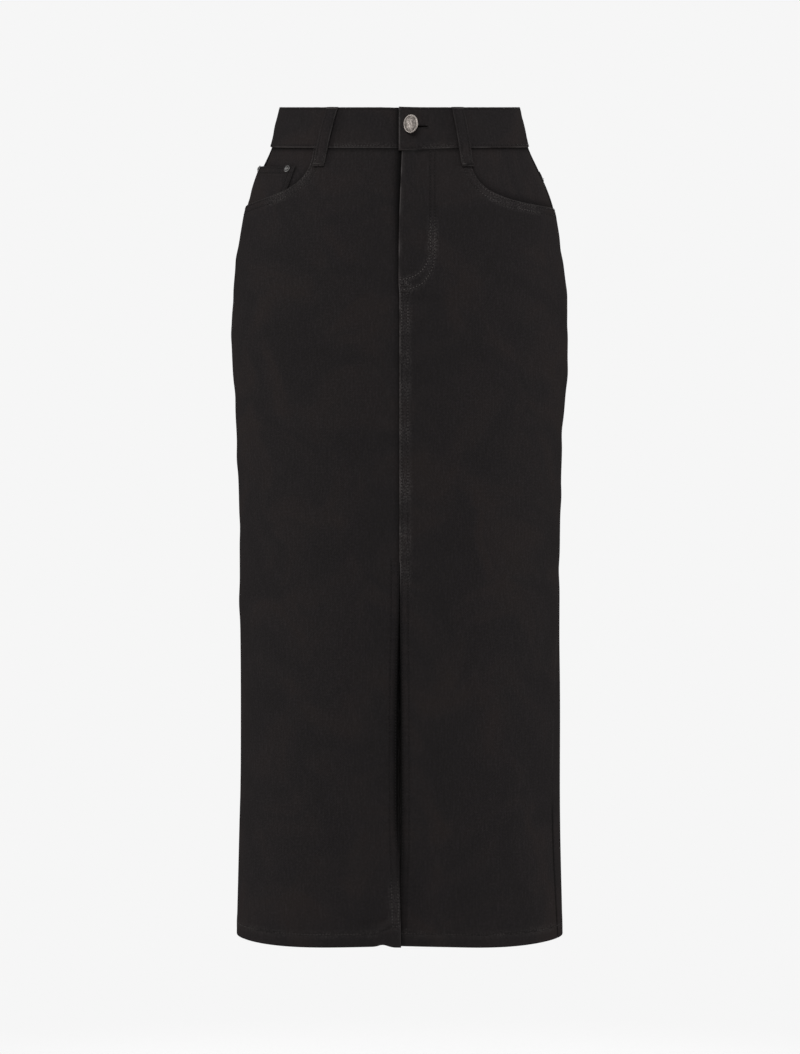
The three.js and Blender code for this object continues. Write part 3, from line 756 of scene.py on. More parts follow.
# Core-spun polyester thread, dyed charcoal: as black as the cloth where it is new, paler where it is rubbed.
def charcoalThread(tree):
    place = addNode(tree, "ShaderNodeTexCoord").outputs["Object"]
    patch = addNode(
        tree, "ShaderNodeTexNoise",
        {"Vector": place, "Scale": 1000 / threadLook["patchSize"], "Detail": 3, "Roughness": 0.7},
    )
    faded = {"Value": patch, "From Min": 0.36, "From Max": 0.58}
    fade = addNode(tree, "ShaderNodeMapRange", faded, interpolation_type="SMOOTHSTEP")
    wear = addNode(tree, "ShaderNodeAttribute", attribute_name="wear").outputs["Fac"]
    fade = addNode(tree, "ShaderNodeMath", {0: fade, 1: wear}, operation="MULTIPLY", use_clamp=True)
    dark, light = linearColour(threadLook["dark"]), linearColour(threadLook["light"])
    colour = addNode(tree, "ShaderNodeMix", {0: fade, 6: dark, 7: light}, data_type="RGBA").outputs[2]
    twisted = {"Vector": place, "Scale": diagonalWave / (threadLook["twistPitch"] / 1000)}
    twist = addNode(tree, "ShaderNodeTexWave", twisted, bands_direction="DIAGONAL").outputs["Fac"]
    bump = addNode(tree, "ShaderNodeBump", {"Height": twist, "Strength": 0.4, "Distance": 0.0001})
    return addNode(
        tree, "ShaderNodeBsdfPrincipled",
        {
            "Base Color": colour, "Roughness": threadLook["roughness"], "Specular IOR Level": 0.05,
            "Normal": bump,
        },
    )


metalLook = {
    "nickel": {"bright": "#88817C", "dull": "#35312E", "dark": "#151312"},
    "gunmetal": {"bright": "#5A5958", "dull": "#20201F", "dark": "#0F0F0F"},
    "stainSize": 2.6,
    "pitSize": 0.9,
}


# Plated steel, antique nickel or gunmetal: brushed on top, dark where the wash left its finish in hollows.
def washedPlating(tree, tones):
    place = addNode(tree, "ShaderNodeTexCoord").outputs["Object"]
    stained = {"Vector": place, "Scale": 1000 / metalLook["stainSize"], "Detail": 5, "Roughness": 0.75}
    patch = addNode(tree, "ShaderNodeTexNoise", stained)
    pitScale = 1000 / metalLook["pitSize"]
    pits = addNode(tree, "ShaderNodeTexVoronoi", {"Vector": place, "Scale": pitScale})
    polished = addNode(tree, "ShaderNodeAttribute", attribute_name="polished").outputs["Fac"]
    showing = addNode(tree, "ShaderNodeMath", {0: polished, 1: 0.3, 2: patch}, operation="MULTIPLY_ADD")
    stain = addNode(tree, "ShaderNodeValToRGB", {"Fac": showing})
    stops = stain.color_ramp.elements
    stops[0].position, stops[0].color = 0.42, linearColour(tones["dull"])
    stops[1].position, stops[1].color = 0.74, linearColour(tones["bright"])
    inPits = {"Value": pits, "From Min": 0.05, "From Max": 0.3, "To Min": 0.5, "To Max": 0}
    pitted = addNode(tree, "ShaderNodeMapRange", inPits)
    layers = {0: pitted, 6: stain, 7: linearColour(tones["dark"])}
    colour = addNode(tree, "ShaderNodeMix", layers, data_type="RGBA").outputs[2]
    rough = {"Value": patch, "From Min": 0.3, "From Max": 0.7, "To Min": 0.52, "To Max": 0.36}
    roughness = addNode(tree, "ShaderNodeMapRange", rough)
    bump = addNode(tree, "ShaderNodeBump", {"Height": patch, "Strength": 0.7, "Distance": 0.0006})
    return addNode(
        tree, "ShaderNodeBsdfPrincipled",
        {"Base Color": colour, "Metallic": 1.0, "Roughness": roughness, "Normal": bump},
    )


tapeLook = {"dark": "#121112", "light": "#2B2929", "ribPitch": 1.1}


# Woven polyester zip tape: black, finely ribbed, a little sheen.
def wovenTape(tree):
    cut = addNode(tree, "ShaderNodeUVMap", uv_map="cut")
    ribbed = {"Vector": cut, "Scale": straightWave / (tapeLook["ribPitch"] / 1000), "Distortion": 0.4}
    ribs = addNode(tree, "ShaderNodeTexWave", ribbed, bands_direction="X").outputs["Fac"]
    dark, light = linearColour(tapeLook["dark"]), linearColour(tapeLook["light"])
    colour = addNode(tree, "ShaderNodeMix", {0: ribs, 6: dark, 7: light}, data_type="RGBA").outputs[2]
    bump = addNode(tree, "ShaderNodeBump", {"Height": ribs, "Strength": 0.5, "Distance": 0.0002})
    return addNode(
        tree, "ShaderNodeBsdfPrincipled",
        {"Base Color": colour, "Roughness": 0.7, "Specular IOR Level": 0.25, "Normal": bump},
    )


# Matt white paint on the studio floor, fading out towards its edge so that no horizon shows.
def paleFloorPaint(tree):
    place = addNode(tree, "ShaderNodeTexCoord").outputs["Object"]
    far = addNode(tree, "ShaderNodeVectorMath", {0: place}, operation="LENGTH").outputs["Value"]
    radius = studio["floorRadius"]
    faded = {"Value": far, "From Min": radius * 0.25, "From Max": radius * 0.95}
    fade = addNode(tree, "ShaderNodeMapRange", faded, interpolation_type="SMOOTHSTEP")
    grain = addNode(tree, "ShaderNodeTexNoise", {"Vector": place, "Scale": 300, "Detail": 2})
    pale, bright = (linearColour(code) for code in studio["floorTones"])
    colour = addNode(tree, "ShaderNodeMix", {0: grain, 6: pale, 7: bright}, data_type="RGBA").outputs[2]
    paint = addNode(tree, "ShaderNodeBsdfPrincipled", {"Base Color": colour, "Roughness": 0.8})
    clear = addNode(tree, "ShaderNodeBsdfTransparent")
    return addNode(tree, "ShaderNodeMixShader", {0: fade, 1: paint, 2: clear})


denim = makeMaterial("washed black denim", washedBlackDenim)
thread = makeMaterial("charcoal topstitch thread", charcoalThread)
nickel = makeMaterial("antique nickel", washedPlating, metalLook["nickel"])
gunmetal = makeMaterial("gunmetal", washedPlating, metalLook["gunmetal"])
tape = makeMaterial("black woven zip tape", wovenTape)
print("Materials ready")

# The front panels

handOf = {"left": 1, "right": -1}
# the side seams' groove, and how dark the painted shade in it is low down
sideGroove = {"deep": 0.6, "wide": 1.3, "black": 0.85, "shadeFrom": -690}

front = {
    "flyWide": 36,
    "flyProudEdge": 2.0,
    "flyProudStitch": 1.2,
    "flyFade": 53,
    "flyRunOut": 20,
    # the fly's folded edge: level, across
    "flyLine": [(-21, 2.4), (-60, 1.0), (-110, -0.4), (-168, -0.9), (-190, -0.6)],
    "edgeBlend": 12,  # how soon the fly's edge becomes the seam's
    "felledProud": 0.6,
    "facingProud": 0.25,
    # how the wearer's right panel goes in under the left one: level, how deep, how wide
    "underDip": [(-21, 3.2, 6), (-100, 2.8, 4.5), (-190, 1.5, 2.6), (-457, 1.2, 2.4)],
    "dipRunOut": 40,
    "sagEnd": -110,  # how far down the left panel sags with the lap
    # the right panel's corner at the slit: how far, where it ends from the centre, over how much
    "cornerDrawn": (7.5, 27, 22),
    "cornerHangs": (1.8, 16, 12),
    "drawnTall": 9,
    "notch": (1.5, 18, 5),  # how deep, how far from the centre, how wide
    "slitRoll": 38,
    # the side seams past the widest line of the section: level, wearer's left, wearer's right
    "sideSeams": [
        (21, 6, 10), (-85, 6, 10), (-215, 5, 10), (-325, 0, 9), (-450, -22, 8), (-560, -38, 7),
        (-650, -46, 6), (-740, -49, 5), (-846, -43, 3),
    ],
    # the slit's two edges: level, left edge across and out, right edge across and out
    "slitEdges": [
        (-457, 0.15, 0.5, -0.15, 0), (-520, 0.2, 0.8, -0.8, -1.2), (-600, 1, 0.9, -2, -3.2),
        (-680, 1.2, 0.6, -2.2, -3.4), (-722, 1.2, -0.2, -2, -2.6), (-744, 1, -1.6, -1.4, -1.1),
        (-766, 0.3, -3.3, -0.6, 0), (-800, -1, -4.2, 0.3, 0.7), (-846, -2, -4.7, 1.4, 1),
    ],
    # the pocket mouths: where each leaves the band, two handles as shares of its width and levels, its end
    "scoops": {
        "left": (72, (0.027, -72), (0.24, -86), -86),
        "right": (92.5, (0.024, -60), (0.25, -78), -85),
    },
    "flyOuterRow": [
        (35.6, -22.5), (35.6, -80), (35.6, -138), (34.6, -150), (31.4, -160), (23.2, -171.5), (13, -176.6),
        (1.5, -179),
    ],
    "flyInnerRow": [
        (31.0, -22.5), (31.0, -80), (31.0, -138), (28.3, -150), (21.4, -160), (11, -166.3), (0.6, -168.4),
    ],
    "flyEndRow": 3.5,  # above the fly's end
    "flyEndReach": (1.0, 9.0),
}

# How the front panels show wear, where painted highlight lies on their edges, and where painted shade darkens
# them.
frontWearAndPaintedLight = {
    "nearEdge": 14,  # how far in the folded edges' own rows lie
    "edge": 0.05,
    # wear and painted highlight along each pocket mouth's edge
    "mouthEdgeWearAndHighlight": {"left": 0.4, "right": 0.2},
    "hemCorner": 0.3,
    "rows": 0.3,
    "mouthRows": 0.7,
    "mouthEnds": {"left": 0.74, "right": 0.54},  # as a share of the mouth's width
    "hemRows": 0.45,
    "flyRows": (0.05, 0.8),  # at its top and at its end
    "flyRowsFrom": -90,
    "slitRows": 0.8,
    "slitRowsFrom": -765,
    # wear and painted highlight along the fly's fold and the felled seam's edge end at the first level
    "foldEnds": (-497, 36),  # where the felled seam's edge is worn no more, over how much
    "flyRowsIn": 44,
    "flyRowsEnd": -200,
    # painted shade on the right panel beside the fly's edge: how dark, and next how wide
    "underLapShade": (0.35, 0.5, -170, 80),  # least, how much more, from which level up, over how much
    "underLapShadeWide": (4.2, 2, -130, 90),
    "seamFrom": -160,
    # how much the felled seam is rubbed: level, share
    "seam": [
        (-160, 1.1), (-172, 1.6), (-181, 0.8), (-188, 0.25), (-197, 0.75), (-206, 0.95), (-218, 0.6),
        (-228, 0.25), (-240, 0.45), (-253, 0.65), (-262, 0.35), (-284, 0.75), (-298, 0.4), (-325, 0.7),
        (-350, 0.35), (-382, 0.8), (-402, 0.4), (-426, 0.75), (-446, 0.6), (-452, 0.2), (-460, 0.5),
        (-480, 0.45), (-492, 0.1), (-500, 0),
    ],
    # painted shade beside the slit's overlap: level, left how dark and how wide, right the same
    "slitShade": [
        (-457, 0.2, 1.2, 0.3, 1.6), (-500, 0.5, 1.6, 0.5, 2.0), (-560, 0.85, 2.0, 0.9, 3.2),
        (-640, 0.9, 2.4, 0.95, 4.0), (-720, 0.9, 3.0, 0.9, 3.4), (-760, 0.7, 4.2, 0.4, 2.4),
        (-800, 0.6, 5.4, 0.0, 2.0), (-846, 0.65, 6.0, 0.0, 2.0),
    ],
    # painted shade on the panels close under the waistband: how dark, how far down
    "underBand": (0.75, 2.2),  # how black, how far down
}


def sideSeam(side, level):
    return quarterGirth(level) + readRows(front["sideSeams"], 1 if side == "left" else 2, level)


# A side seam is a groove between two panels, with painted shade in it low down.
def onSideSeam(side, across, level):
    return np.exp(-(((np.abs(across) - sideSeam(side, level)) / sideGroove["wide"]) ** 2))


def shadeOnSide(side, across, level):
    low = ease((sideGroove["shadeFrom"] - level) / 30)
    return sideGroove["black"] * low * onSideSeam(side, across, level)


# Painted shade also darkens the panels close under the waistband.
def shadeUnderBand(level):
    black, tall = frontWearAndPaintedLight["underBand"]
    return black * np.exp(-((np.minimum(level - topOfPanels, 0) / tall) ** 2))


def mouthCurve(side, t):
    _, first, second, end = front["scoops"][side]
    corners = np.array([(0, topOfPanels), first, second, (1, end)], float)
    weights = np.stack([(1 - t) ** 3, 3 * t * (1 - t) ** 2, 3 * t * t * (1 - t), t**3], axis=-1)
    return weights @ corners


# A share of the way from the mouth's start to the side seam.
def shareAcross(side, share, level):
    start = front["scoops"][side][0]
    return start + share * (sideSeam(side, level) - seamGap - start)


def shareOf(side, across, level):
    start = front["scoops"][side][0]
    return (np.abs(across) - start) / (sideSeam(side, level) - seamGap - start)


def mouthLine(side):
    shares, levels = mouthCurve(side, np.linspace(0, 1, 200)).T
    return linePoints(shareAcross(side, shares, levels), levels)


def mouthLevel(side, share):
    shares, levels = mouthCurve(side, np.linspace(0, 1, 400)).T
    return np.interp(share, shares, levels)


# Where a front panel's edge lies from the centre front, at the fly, the felled seam and the slit.
def frontEdge(side, level):
    onSlit = handOf[side] * readRows(front["slitEdges"], 1 if side == "left" else 3, level)
    low = np.where(level < slitTop, onSlit, seamGap)
    folded = handOf[side] * readRows(front["flyLine"], 1, level) + seamGap
    return low + ease((level - flyEnd + front["edgeBlend"] / 2) / front["edgeBlend"]) * (folded - low)


def frontOuter(side):
    flyWide, proudStitch = front["flyWide"], front["flyProudStitch"]

    def outer(across, level):
        hanging = 1 - ease(np.abs(across) / front["slitRoll"])
        onSide = np.where(across * handOf[side] > 0, 1, -1)
        fromEdge = np.abs(across) * onSide - frontEdge(side, level) * hanging
        if side == "left":
            onLap = front["flyProudEdge"] + (proudStitch - front["flyProudEdge"]) * (fromEdge / flyWide)
            fading = 1 - ease((fromEdge - flyWide) / (front["flyFade"] - flyWide))
            onLap = np.where(fromEdge <= flyWide, onLap, proudStitch * fading)
            onFly = ease((level - flyEnd + front["flyRunOut"]) / front["flyRunOut"])
            out = np.maximum(onLap * onFly, front["felledProud"] * onFelled(fromEdge) * (level > slitTop))
        else:
            deep, wide = (readRows(front["underDip"], column, level) for column in (1, 2))
            aboveSlit = ease((level - slitTop + front["dipRunOut"] / 2) / front["dipRunOut"])
            out = -deep * np.exp(-((fromEdge / wide) ** 2)) * aboveSlit
        roll = (1 - np.clip(fromEdge / front["slitRoll"], 0, 1)) ** 2
        rolled = roll * readRows(front["slitEdges"], 2 if side == "left" else 4, level)
        out -= sideGroove["deep"] * onSideSeam(side, across, level)
        return out + (level < slitTop) * (rolled + front["facingProud"] * onFelled(fromEdge))

    return outer


def frontLayers(side):
    def layers(across, level):
        fromEdge = across * handOf[side] - frontEdge(side, level)
        onFly = (1 - ease((fromEdge - front["flyWide"]) / 2)) * (side == "left")
        onCentre = np.where(level > flyEnd, onFly, onFelled(fromEdge, 1.5))
        return 1 + np.maximum(onCentre, onHem(level))

    return layers


# The wearer's left panel hangs from the lap, so it sags a little with it. The right one is drawn up where its
# hem meets the slit, and its edge has a notch beside that.
def frontSag(side):
    def sag(across, level):
        fromCentre = np.abs(across)
        if side == "left":
            near = 1 - ease((fromCentre + 1) / lapDropFade)
            return lapDrop * near * ease((level - front["sagEnd"]) / (waistSeam - front["sagEnd"]))
        tall, ends, over = front["cornerDrawn"]
        atHem = np.exp(-(((level - hemStitch) / front["drawnTall"]) ** 2))
        drawn = tall * ease((ends - fromCentre) / over) * atHem
        deep, place, wide = front["notch"]
        notch = deep * np.exp(-(((fromCentre - place) / wide) ** 2))
        low, ends, over = front["cornerHangs"]
        hanging = low * ease((ends - fromCentre) / over)
        return (hanging - notch) * ease((hemStitch - level) / 12) - drawn

    return sag


# The fly's fold and the felled seam are rubbed most, then the pocket mouths and the hem; the fly's fold and
# the mouth edges also get painted highlight. The rows down the slit and the upper fly hardly show. Painted
# shade darkens the cloth under the fly, beside the slit's overlap, in the side seams and close under the
# band.
def frontPaintedLightAndWear(side):
    wear = frontWearAndPaintedLight

    def wearAndPaintedLight(across, level):
        fromEdge = across * handOf[side] - frontEdge(side, level)
        nearEdge = fromEdge < wear["nearEdge"]
        onSlit = level < slitTop
        aboveHem = level > hemStitch + 4
        share = shareOf(side, across, level)
        atMouth = (share > 0) & (level > mouthLevel(side, share) - 12)
        fading = ease((wear["mouthEnds"][side] - share) / 0.25)
        onRim = wear["edge"] + wear["mouthEdgeWearAndHighlight"][side] * atMouth
        onRows = np.where(aboveHem, wear["rows"], wear["hemRows"])
        onRows = np.where(atMouth, wear["mouthRows"] * fading, onRows)
        black, wide = (readRows(wear["slitShade"], c + 2 * (side == "right"), level) for c in (1, 2))
        if side == "left":
            foldEnd, over = wear["foldEnds"]
            onRim = np.where(nearEdge, ease((level - foldEnd) / over), onRim)
            flyTop, flyLow = wear["flyRows"]
            onFly = flyTop + (flyLow - flyTop) * ease((wear["flyRowsFrom"] - level) / 36)
            nearFly = (fromEdge < wear["flyRowsIn"]) & (level > wear["flyRowsEnd"])
            onRows = np.where(nearFly & ~atMouth, onFly, onRows)
            onSeam = nearEdge & (level < wear["seamFrom"]) & aboveHem
            onRows = np.where(onSeam, readRows(wear["seam"], 1, level), onRows)
            black = black * onSlit
        else:
            onRim = np.where(nearEdge & ~aboveHem, wear["hemCorner"], onRim)
            lowSlit = wear["slitRows"] * ease((wear["slitRowsFrom"] - level) / 35)
            onRows = np.where(nearEdge & aboveHem & ~atMouth, lowSlit, onRows)
            least, more, begins, over = wear["underLapShade"]
            black = np.where(onSlit, black, least + more * ease((level - begins) / over))
            least, more, begins, over = wear["underLapShadeWide"]
            wide = np.where(onSlit, wide, least + more * ease((level - begins) / over))
        # painted shade beside the slit's overlap and the fly's edge, in the side seams and under the band
        paintedShade = black * np.exp(-((np.maximum(fromEdge, 0) / wide) ** 2))
        return onRim, onRows, np.maximum(paintedShade, shadeOnSide(side, across, level) + shadeUnderBand(level))

    return wearAndPaintedLight


def frontPanel(side):
    down = np.append(np.arange(topOfPanels, hemEdge, -patternStep), hemEdge)
    centre = linePoints(frontEdge(side, down), down)
    up = np.linspace(hemEdge, front["scoops"][side][3], 340)
    sideLine = linePoints(sideSeam(side, up) - seamGap, up)
    mouth = stepped(mouthLine(side), patternStep)[::-1]
    outline = np.vstack([centre, sideLine, mouth[1:]])
    slit = np.arange(slitTop + (2 if side == "right" else 0), hemStitch - 1, -patternStep)
    rows = [linePoints(frontEdge(side, slit) + place, slit) for place in stitchRows]
    if side == "left":
        seam = np.arange(flyEnd - 4, slitTop, -patternStep)
        rows += [linePoints(place, seam) for place in stitchRows]
        rows += [curved(front["flyOuterRow"]), curved(front["flyInnerRow"])]
        rows.append(stepped([(place, flyEnd + front["flyEndRow"]) for place in front["flyEndReach"]], 1.2))
    rows.append(hemRow(frontEdge(side, hemStitch), sideSeam(side, hemStitch)))
    for place in stitchRows:
        row = besideLine(stepped(mouthLine(side), 2), -place)
        rows.append(row[(row[:, 1] < topOfPanels - 0.5) & (row[:, 0] < sideSeam(side, row[:, 1]) - 1)])
    lower = np.arange(flyEnd, hemEdge + 2, -patternStep)
    ridges = [linePoints(frontEdge(side, lower) + place, lower) for place in felledRidges]
    return sewPiece(
        f"denim_front_{side}", outline, frontOuter(side), frontLayers(side), rows, ridges, hand=handOf[side],
        sag=frontSag(side), wearAndPaintedLight=frontPaintedLightAndWear(side),
    )


madePieces = []
for side in handOf:
    madePieces.append((f"front_{side}", "hung", *frontPanel(side)))
print("Front panels sewn")

# The pocket facings and the coin pocket

pocket = {
    "facingUnder": 34,
    "facingTuck": -0.12,
    "facingUp": 1.8,  # into the waistband, so that no light comes under it
    "facingIn": {"left": (1.7, 1.7), "right": (2.0, 3.5)},  # at the waist seam and below
    "layerGap": 0.6,
    "sideGape": (1.8, 0.72, 0.28),  # how far, from which share of the mouth's width, over how much
    # painted shade on the facing inside the pocket mouth
    "black": (0.5, 7),  # how black inside the mouth, fading out over what height above it
    "coinTop": (-39.7, -42.5),
    "coinUnder": 12,
    "coinFrom": (0.2, 0.27),
    "coinTo": 0.88,
    "coinRows": (1.6, 6.6),
    # how open the coin pocket is: least, how much more, from which share of the mouth's width, over how much
    "coinOpens": (0.12, 0.88, 0.25, 0.45),
    # height above the pocket mouth, how far the coin pocket gapes
    "coinGape": [(46, 4.8), (30, 3.2), (18, 1.6), (6, 0), (-12, 0)],
    "rivets": [(-125.6, -42.8), (-183, -45)],
}


def pocketFacing(side):
    atSeam, below = pocket["facingIn"][side]
    shares = np.linspace(pocket["facingTuck"], 1, 90)
    foot = mouthLevel(side, shares) - pocket["facingUnder"]
    bottom = linePoints(shareAcross(side, shares, foot), foot)
    high = topOfPanels + pocket["facingUp"]
    up = np.linspace(foot[-1], high, 36)
    sideLine = linePoints(shareAcross(side, 1, up), up)
    corner = (shareAcross(side, pocket["facingTuck"], high), high)
    outline = np.vstack([bottom, sideLine[1:], [corner]])

    def outer(across, level):
        share = shareOf(side, across, level)
        depth = (topOfPanels - level) / np.maximum(topOfPanels - mouthLevel(side, share), 12)
        far, begins, over = pocket["sideGape"]
        gaping = far * ease((share - begins) / over) * np.clip(depth, 0, 1)
        return -atSeam + (atSeam - below) * np.clip(depth * 3, 0, 1) - gaping * (side == "left")

    def wearAndPaintedLight(across, level):
        # painted shade inside the mouth and close under the band
        above = level - mouthLevel(side, shareOf(side, across, level))
        black, tall = pocket["black"]
        inPocket = black * np.exp(-((np.maximum(above, 0) / tall) ** 2))
        return 0.1, 0, np.maximum(inPocket, shadeUnderBand(level))

    return sewPiece(f"denim_pocket_facing_{side}", outline, outer, hand=handOf[side], wearAndPaintedLight=wearAndPaintedLight)


# Its outer face lies just under the front panel, and gapes above the mouth.
def coinOuter(across, level):
    share = shareOf("right", across, level)
    least, more, begins, over = pocket["coinOpens"]
    gaping = least + more * ease((share - begins) / over)
    above = level - mouthLevel("right", share)
    return -cloth - pocket["layerGap"] + gaping * readRows(pocket["coinGape"], 1, above)


def coinPocket():
    topFrom, footFrom = pocket["coinFrom"]
    shares = np.linspace(topFrom, pocket["coinTo"], 50)
    topLevels = np.interp(shares, [topFrom, pocket["coinTo"]], pocket["coinTop"])
    top = linePoints(shareAcross("right", shares, topLevels), topLevels)
    footShares = np.linspace(footFrom, pocket["coinTo"], 46)
    foot = mouthLevel("right", footShares) - pocket["coinUnder"]
    bottom = linePoints(shareAcross("right", footShares, foot), foot)
    frontSide = stepped([top[0], bottom[0]], patternStep)
    backSide = stepped([bottom[-1], top[-1]], patternStep)
    outline = np.vstack([frontSide[:-1], bottom, backSide[1:-1], top[::-1][:-1]])
    rows = [top[2:-1] - (0, place) for place in pocket["coinRows"]]
    rows += [frontSide[4:] + (place + 0.2, 0) for place in pocket["coinRows"]]
    return sewPiece(
        "denim_coin_pocket", outline, coinOuter, rows=rows, hand=handOf["right"], step=2.2,
        wearAndPaintedLight=lambda across, level: (0.1, 0.03, 0),
    )


for side in handOf:
    madePieces.append((f"pocket_facing_{side}", "hung", *pocketFacing(side)))
madePieces.append(("coin_pocket", "hung", *coinPocket()))
print("Pockets sewn")

# The back

back = {"yokeProud": 0.8, "centreProud": 0.6}


def yokeLevel(share):
    return yokeAtSide + (yokeAtBack - yokeAtSide) * share


def backAcross(side, share, level):
    start = sideSeam(side, level) + seamGap
    return start + share * (halfGirth(level) - seamGap - start)


def backShare(side, across, level):
    start = sideSeam(side, level) + seamGap
    return (np.abs(across) - start) / (halfGirth(level) - seamGap - start)


def fromCentreBack(across, level):
    return halfGirth(level) - seamGap - np.abs(across)


# The felled seam down the centre back stands proud on the wearer's left only.
def centreProud(side, across, level):
    return back["centreProud"] * onFelled(fromCentreBack(across, level)) * (side == "left")


# The yoke's seam from the side to the centre back, moved up by a gap.
def yokeLine(side, gap):
    shares = np.linspace(0, 1, 100)
    levels = yokeLevel(shares) + gap
    return linePoints(backAcross(side, shares, levels), levels)


def yokePiece(side):
    seam = yokeLine(side, seamGap)
    up = np.linspace(seam[0, 1], topOfPanels, 12)
    sideLine = linePoints(backAcross(side, 0, up), up)
    centre = np.linspace([backAcross(side, 1, topOfPanels), topOfPanels], seam[-1], 30)
    centre[:, 0] = backAcross(side, 1, centre[:, 1])
    outline = np.vstack([seam[::-1], sideLine[1:], centre[:-1]])
    rows = [centre[1:-1] - (place, 0) for place in stitchRows] if side == "left" else []

    def outer(across, level):
        return centreProud(side, across, level)

    return sewPiece(f"denim_yoke_{side}", outline, outer, rows=rows, hand=handOf[side], step=3.2)


def backPanel(side):
    seam = yokeLine(side, -seamGap)
    down = np.linspace(seam[-1, 1], hemEdge, 320)
    centre = linePoints(backAcross(side, 1, down), down)
    up = np.linspace(hemEdge, seam[0, 1], 330)
    sideLine = linePoints(backAcross(side, 0, up), up)
    outline = np.vstack([seam, centre[1:], sideLine[:-1]])
    rows = [seam[1:-1] - (0, place) for place in stitchRows]
    if side == "left":
        low = down[(down < yokeAtBack - 3) & (down > hemStitch)]
        rows += [linePoints(halfGirth(low) - seamGap - place, low) for place in stitchRows]
    rows.append(hemRow(backAcross(side, 0, hemStitch), backAcross(side, 1, hemStitch)))
    ridges = [seam[1:-1] - (0, place) for place in felledRidges]

    def outer(across, level):
        underYoke = yokeLevel(backShare(side, across, level)) - seamGap - level
        onYoke = back["yokeProud"] * onFelled(underYoke)
        groove = sideGroove["deep"] * onSideSeam(side, across, level)
        return np.maximum(onYoke, centreProud(side, across, level)) - groove

    def layers(across, level):
        underYoke = yokeLevel(backShare(side, across, level)) - level
        onSeam = onFelled(np.minimum(fromCentreBack(across, level), underYoke), 1.5)
        return 1 + np.maximum(onSeam, onHem(level))

    # the back panels get painted shade in the side seam's groove low down
    return sewPiece(
        f"denim_back_{side}", outline, outer, layers, rows, ridges, hand=handOf[side],
        wearAndPaintedLight=lambda across, level: (0.25, 0.3, shadeOnSide(side, across, level)),
    )


for side in handOf:
    madePieces.append((f"yoke_{side}", "hung", *yokePiece(side)))
    madePieces.append((f"back_{side}", "hung", *backPanel(side)))
print("Back sewn")

# The waistband: one strip from the button end, under the lap, round the back to the buttonhole end

band = {
    "cloth": 3.0,
    "proud": 0.8,
    "lapWide": 32,
    "lapGap": 0.6,
    "lapLift": 2.2,
    "lapFade": 22,
    "lapEnd": -1,
    "buttonAcross": 11.2,
    "buttonLevel": 1.7,
    "buttonholeEnd": 29,
    "eyeRadius": 3.5,
    "slotWide": 0.9,
    "rowLevels": (18.7, -18.7),
    # wear and painted highlight on the band's edges: at the lap's end, along the lower edge and the upper one
    "edgeWearAndHighlight": {"lap": 0.8, "low": 0.42, "high": 0.2},
    "rowWear": {"worn": 0.45, "plain": 0.08},
    "wornUnder": (-66, -2),  # where the low row is worn, beside the lap and on it
    "wornOnLap": (22, 62),
    # painted shade on the button end beside the lap's edge: how dark, how wide
    "shadeBesideLap": (0.8, 4.5),  # how black, how wide
}


def lapOuter(across):
    return band["proud"] + band["lapLift"] * (1 - np.clip(across / band["lapWide"], 0, 1)) ** 2


# The buttonhole end hangs a little lower at its lower corner.
def lapSag(across, level):
    tall = waistTop - waistSeam
    return lapDrop * (1 - ease((across + 1) / lapDropFade)) * ease((waistTop - level) / tall)


def underOuter(across):
    sunk = lapOuter(np.maximum(across, 0)) - band["cloth"] - band["lapGap"]
    rising = ease(-across / band["lapFade"])
    return np.where(across > 0, sunk, sunk + (band["proud"] - sunk) * rising)


# Round the strip, "along" is measured halfway up, from +32 at the button end to past the whole girth.
def bandOuter(along):
    girth = 2 * halfGirth(0)
    onLap = along + girth
    return np.where(onLap < band["lapWide"] + 8, lapOuter(onLap), underOuter(along))


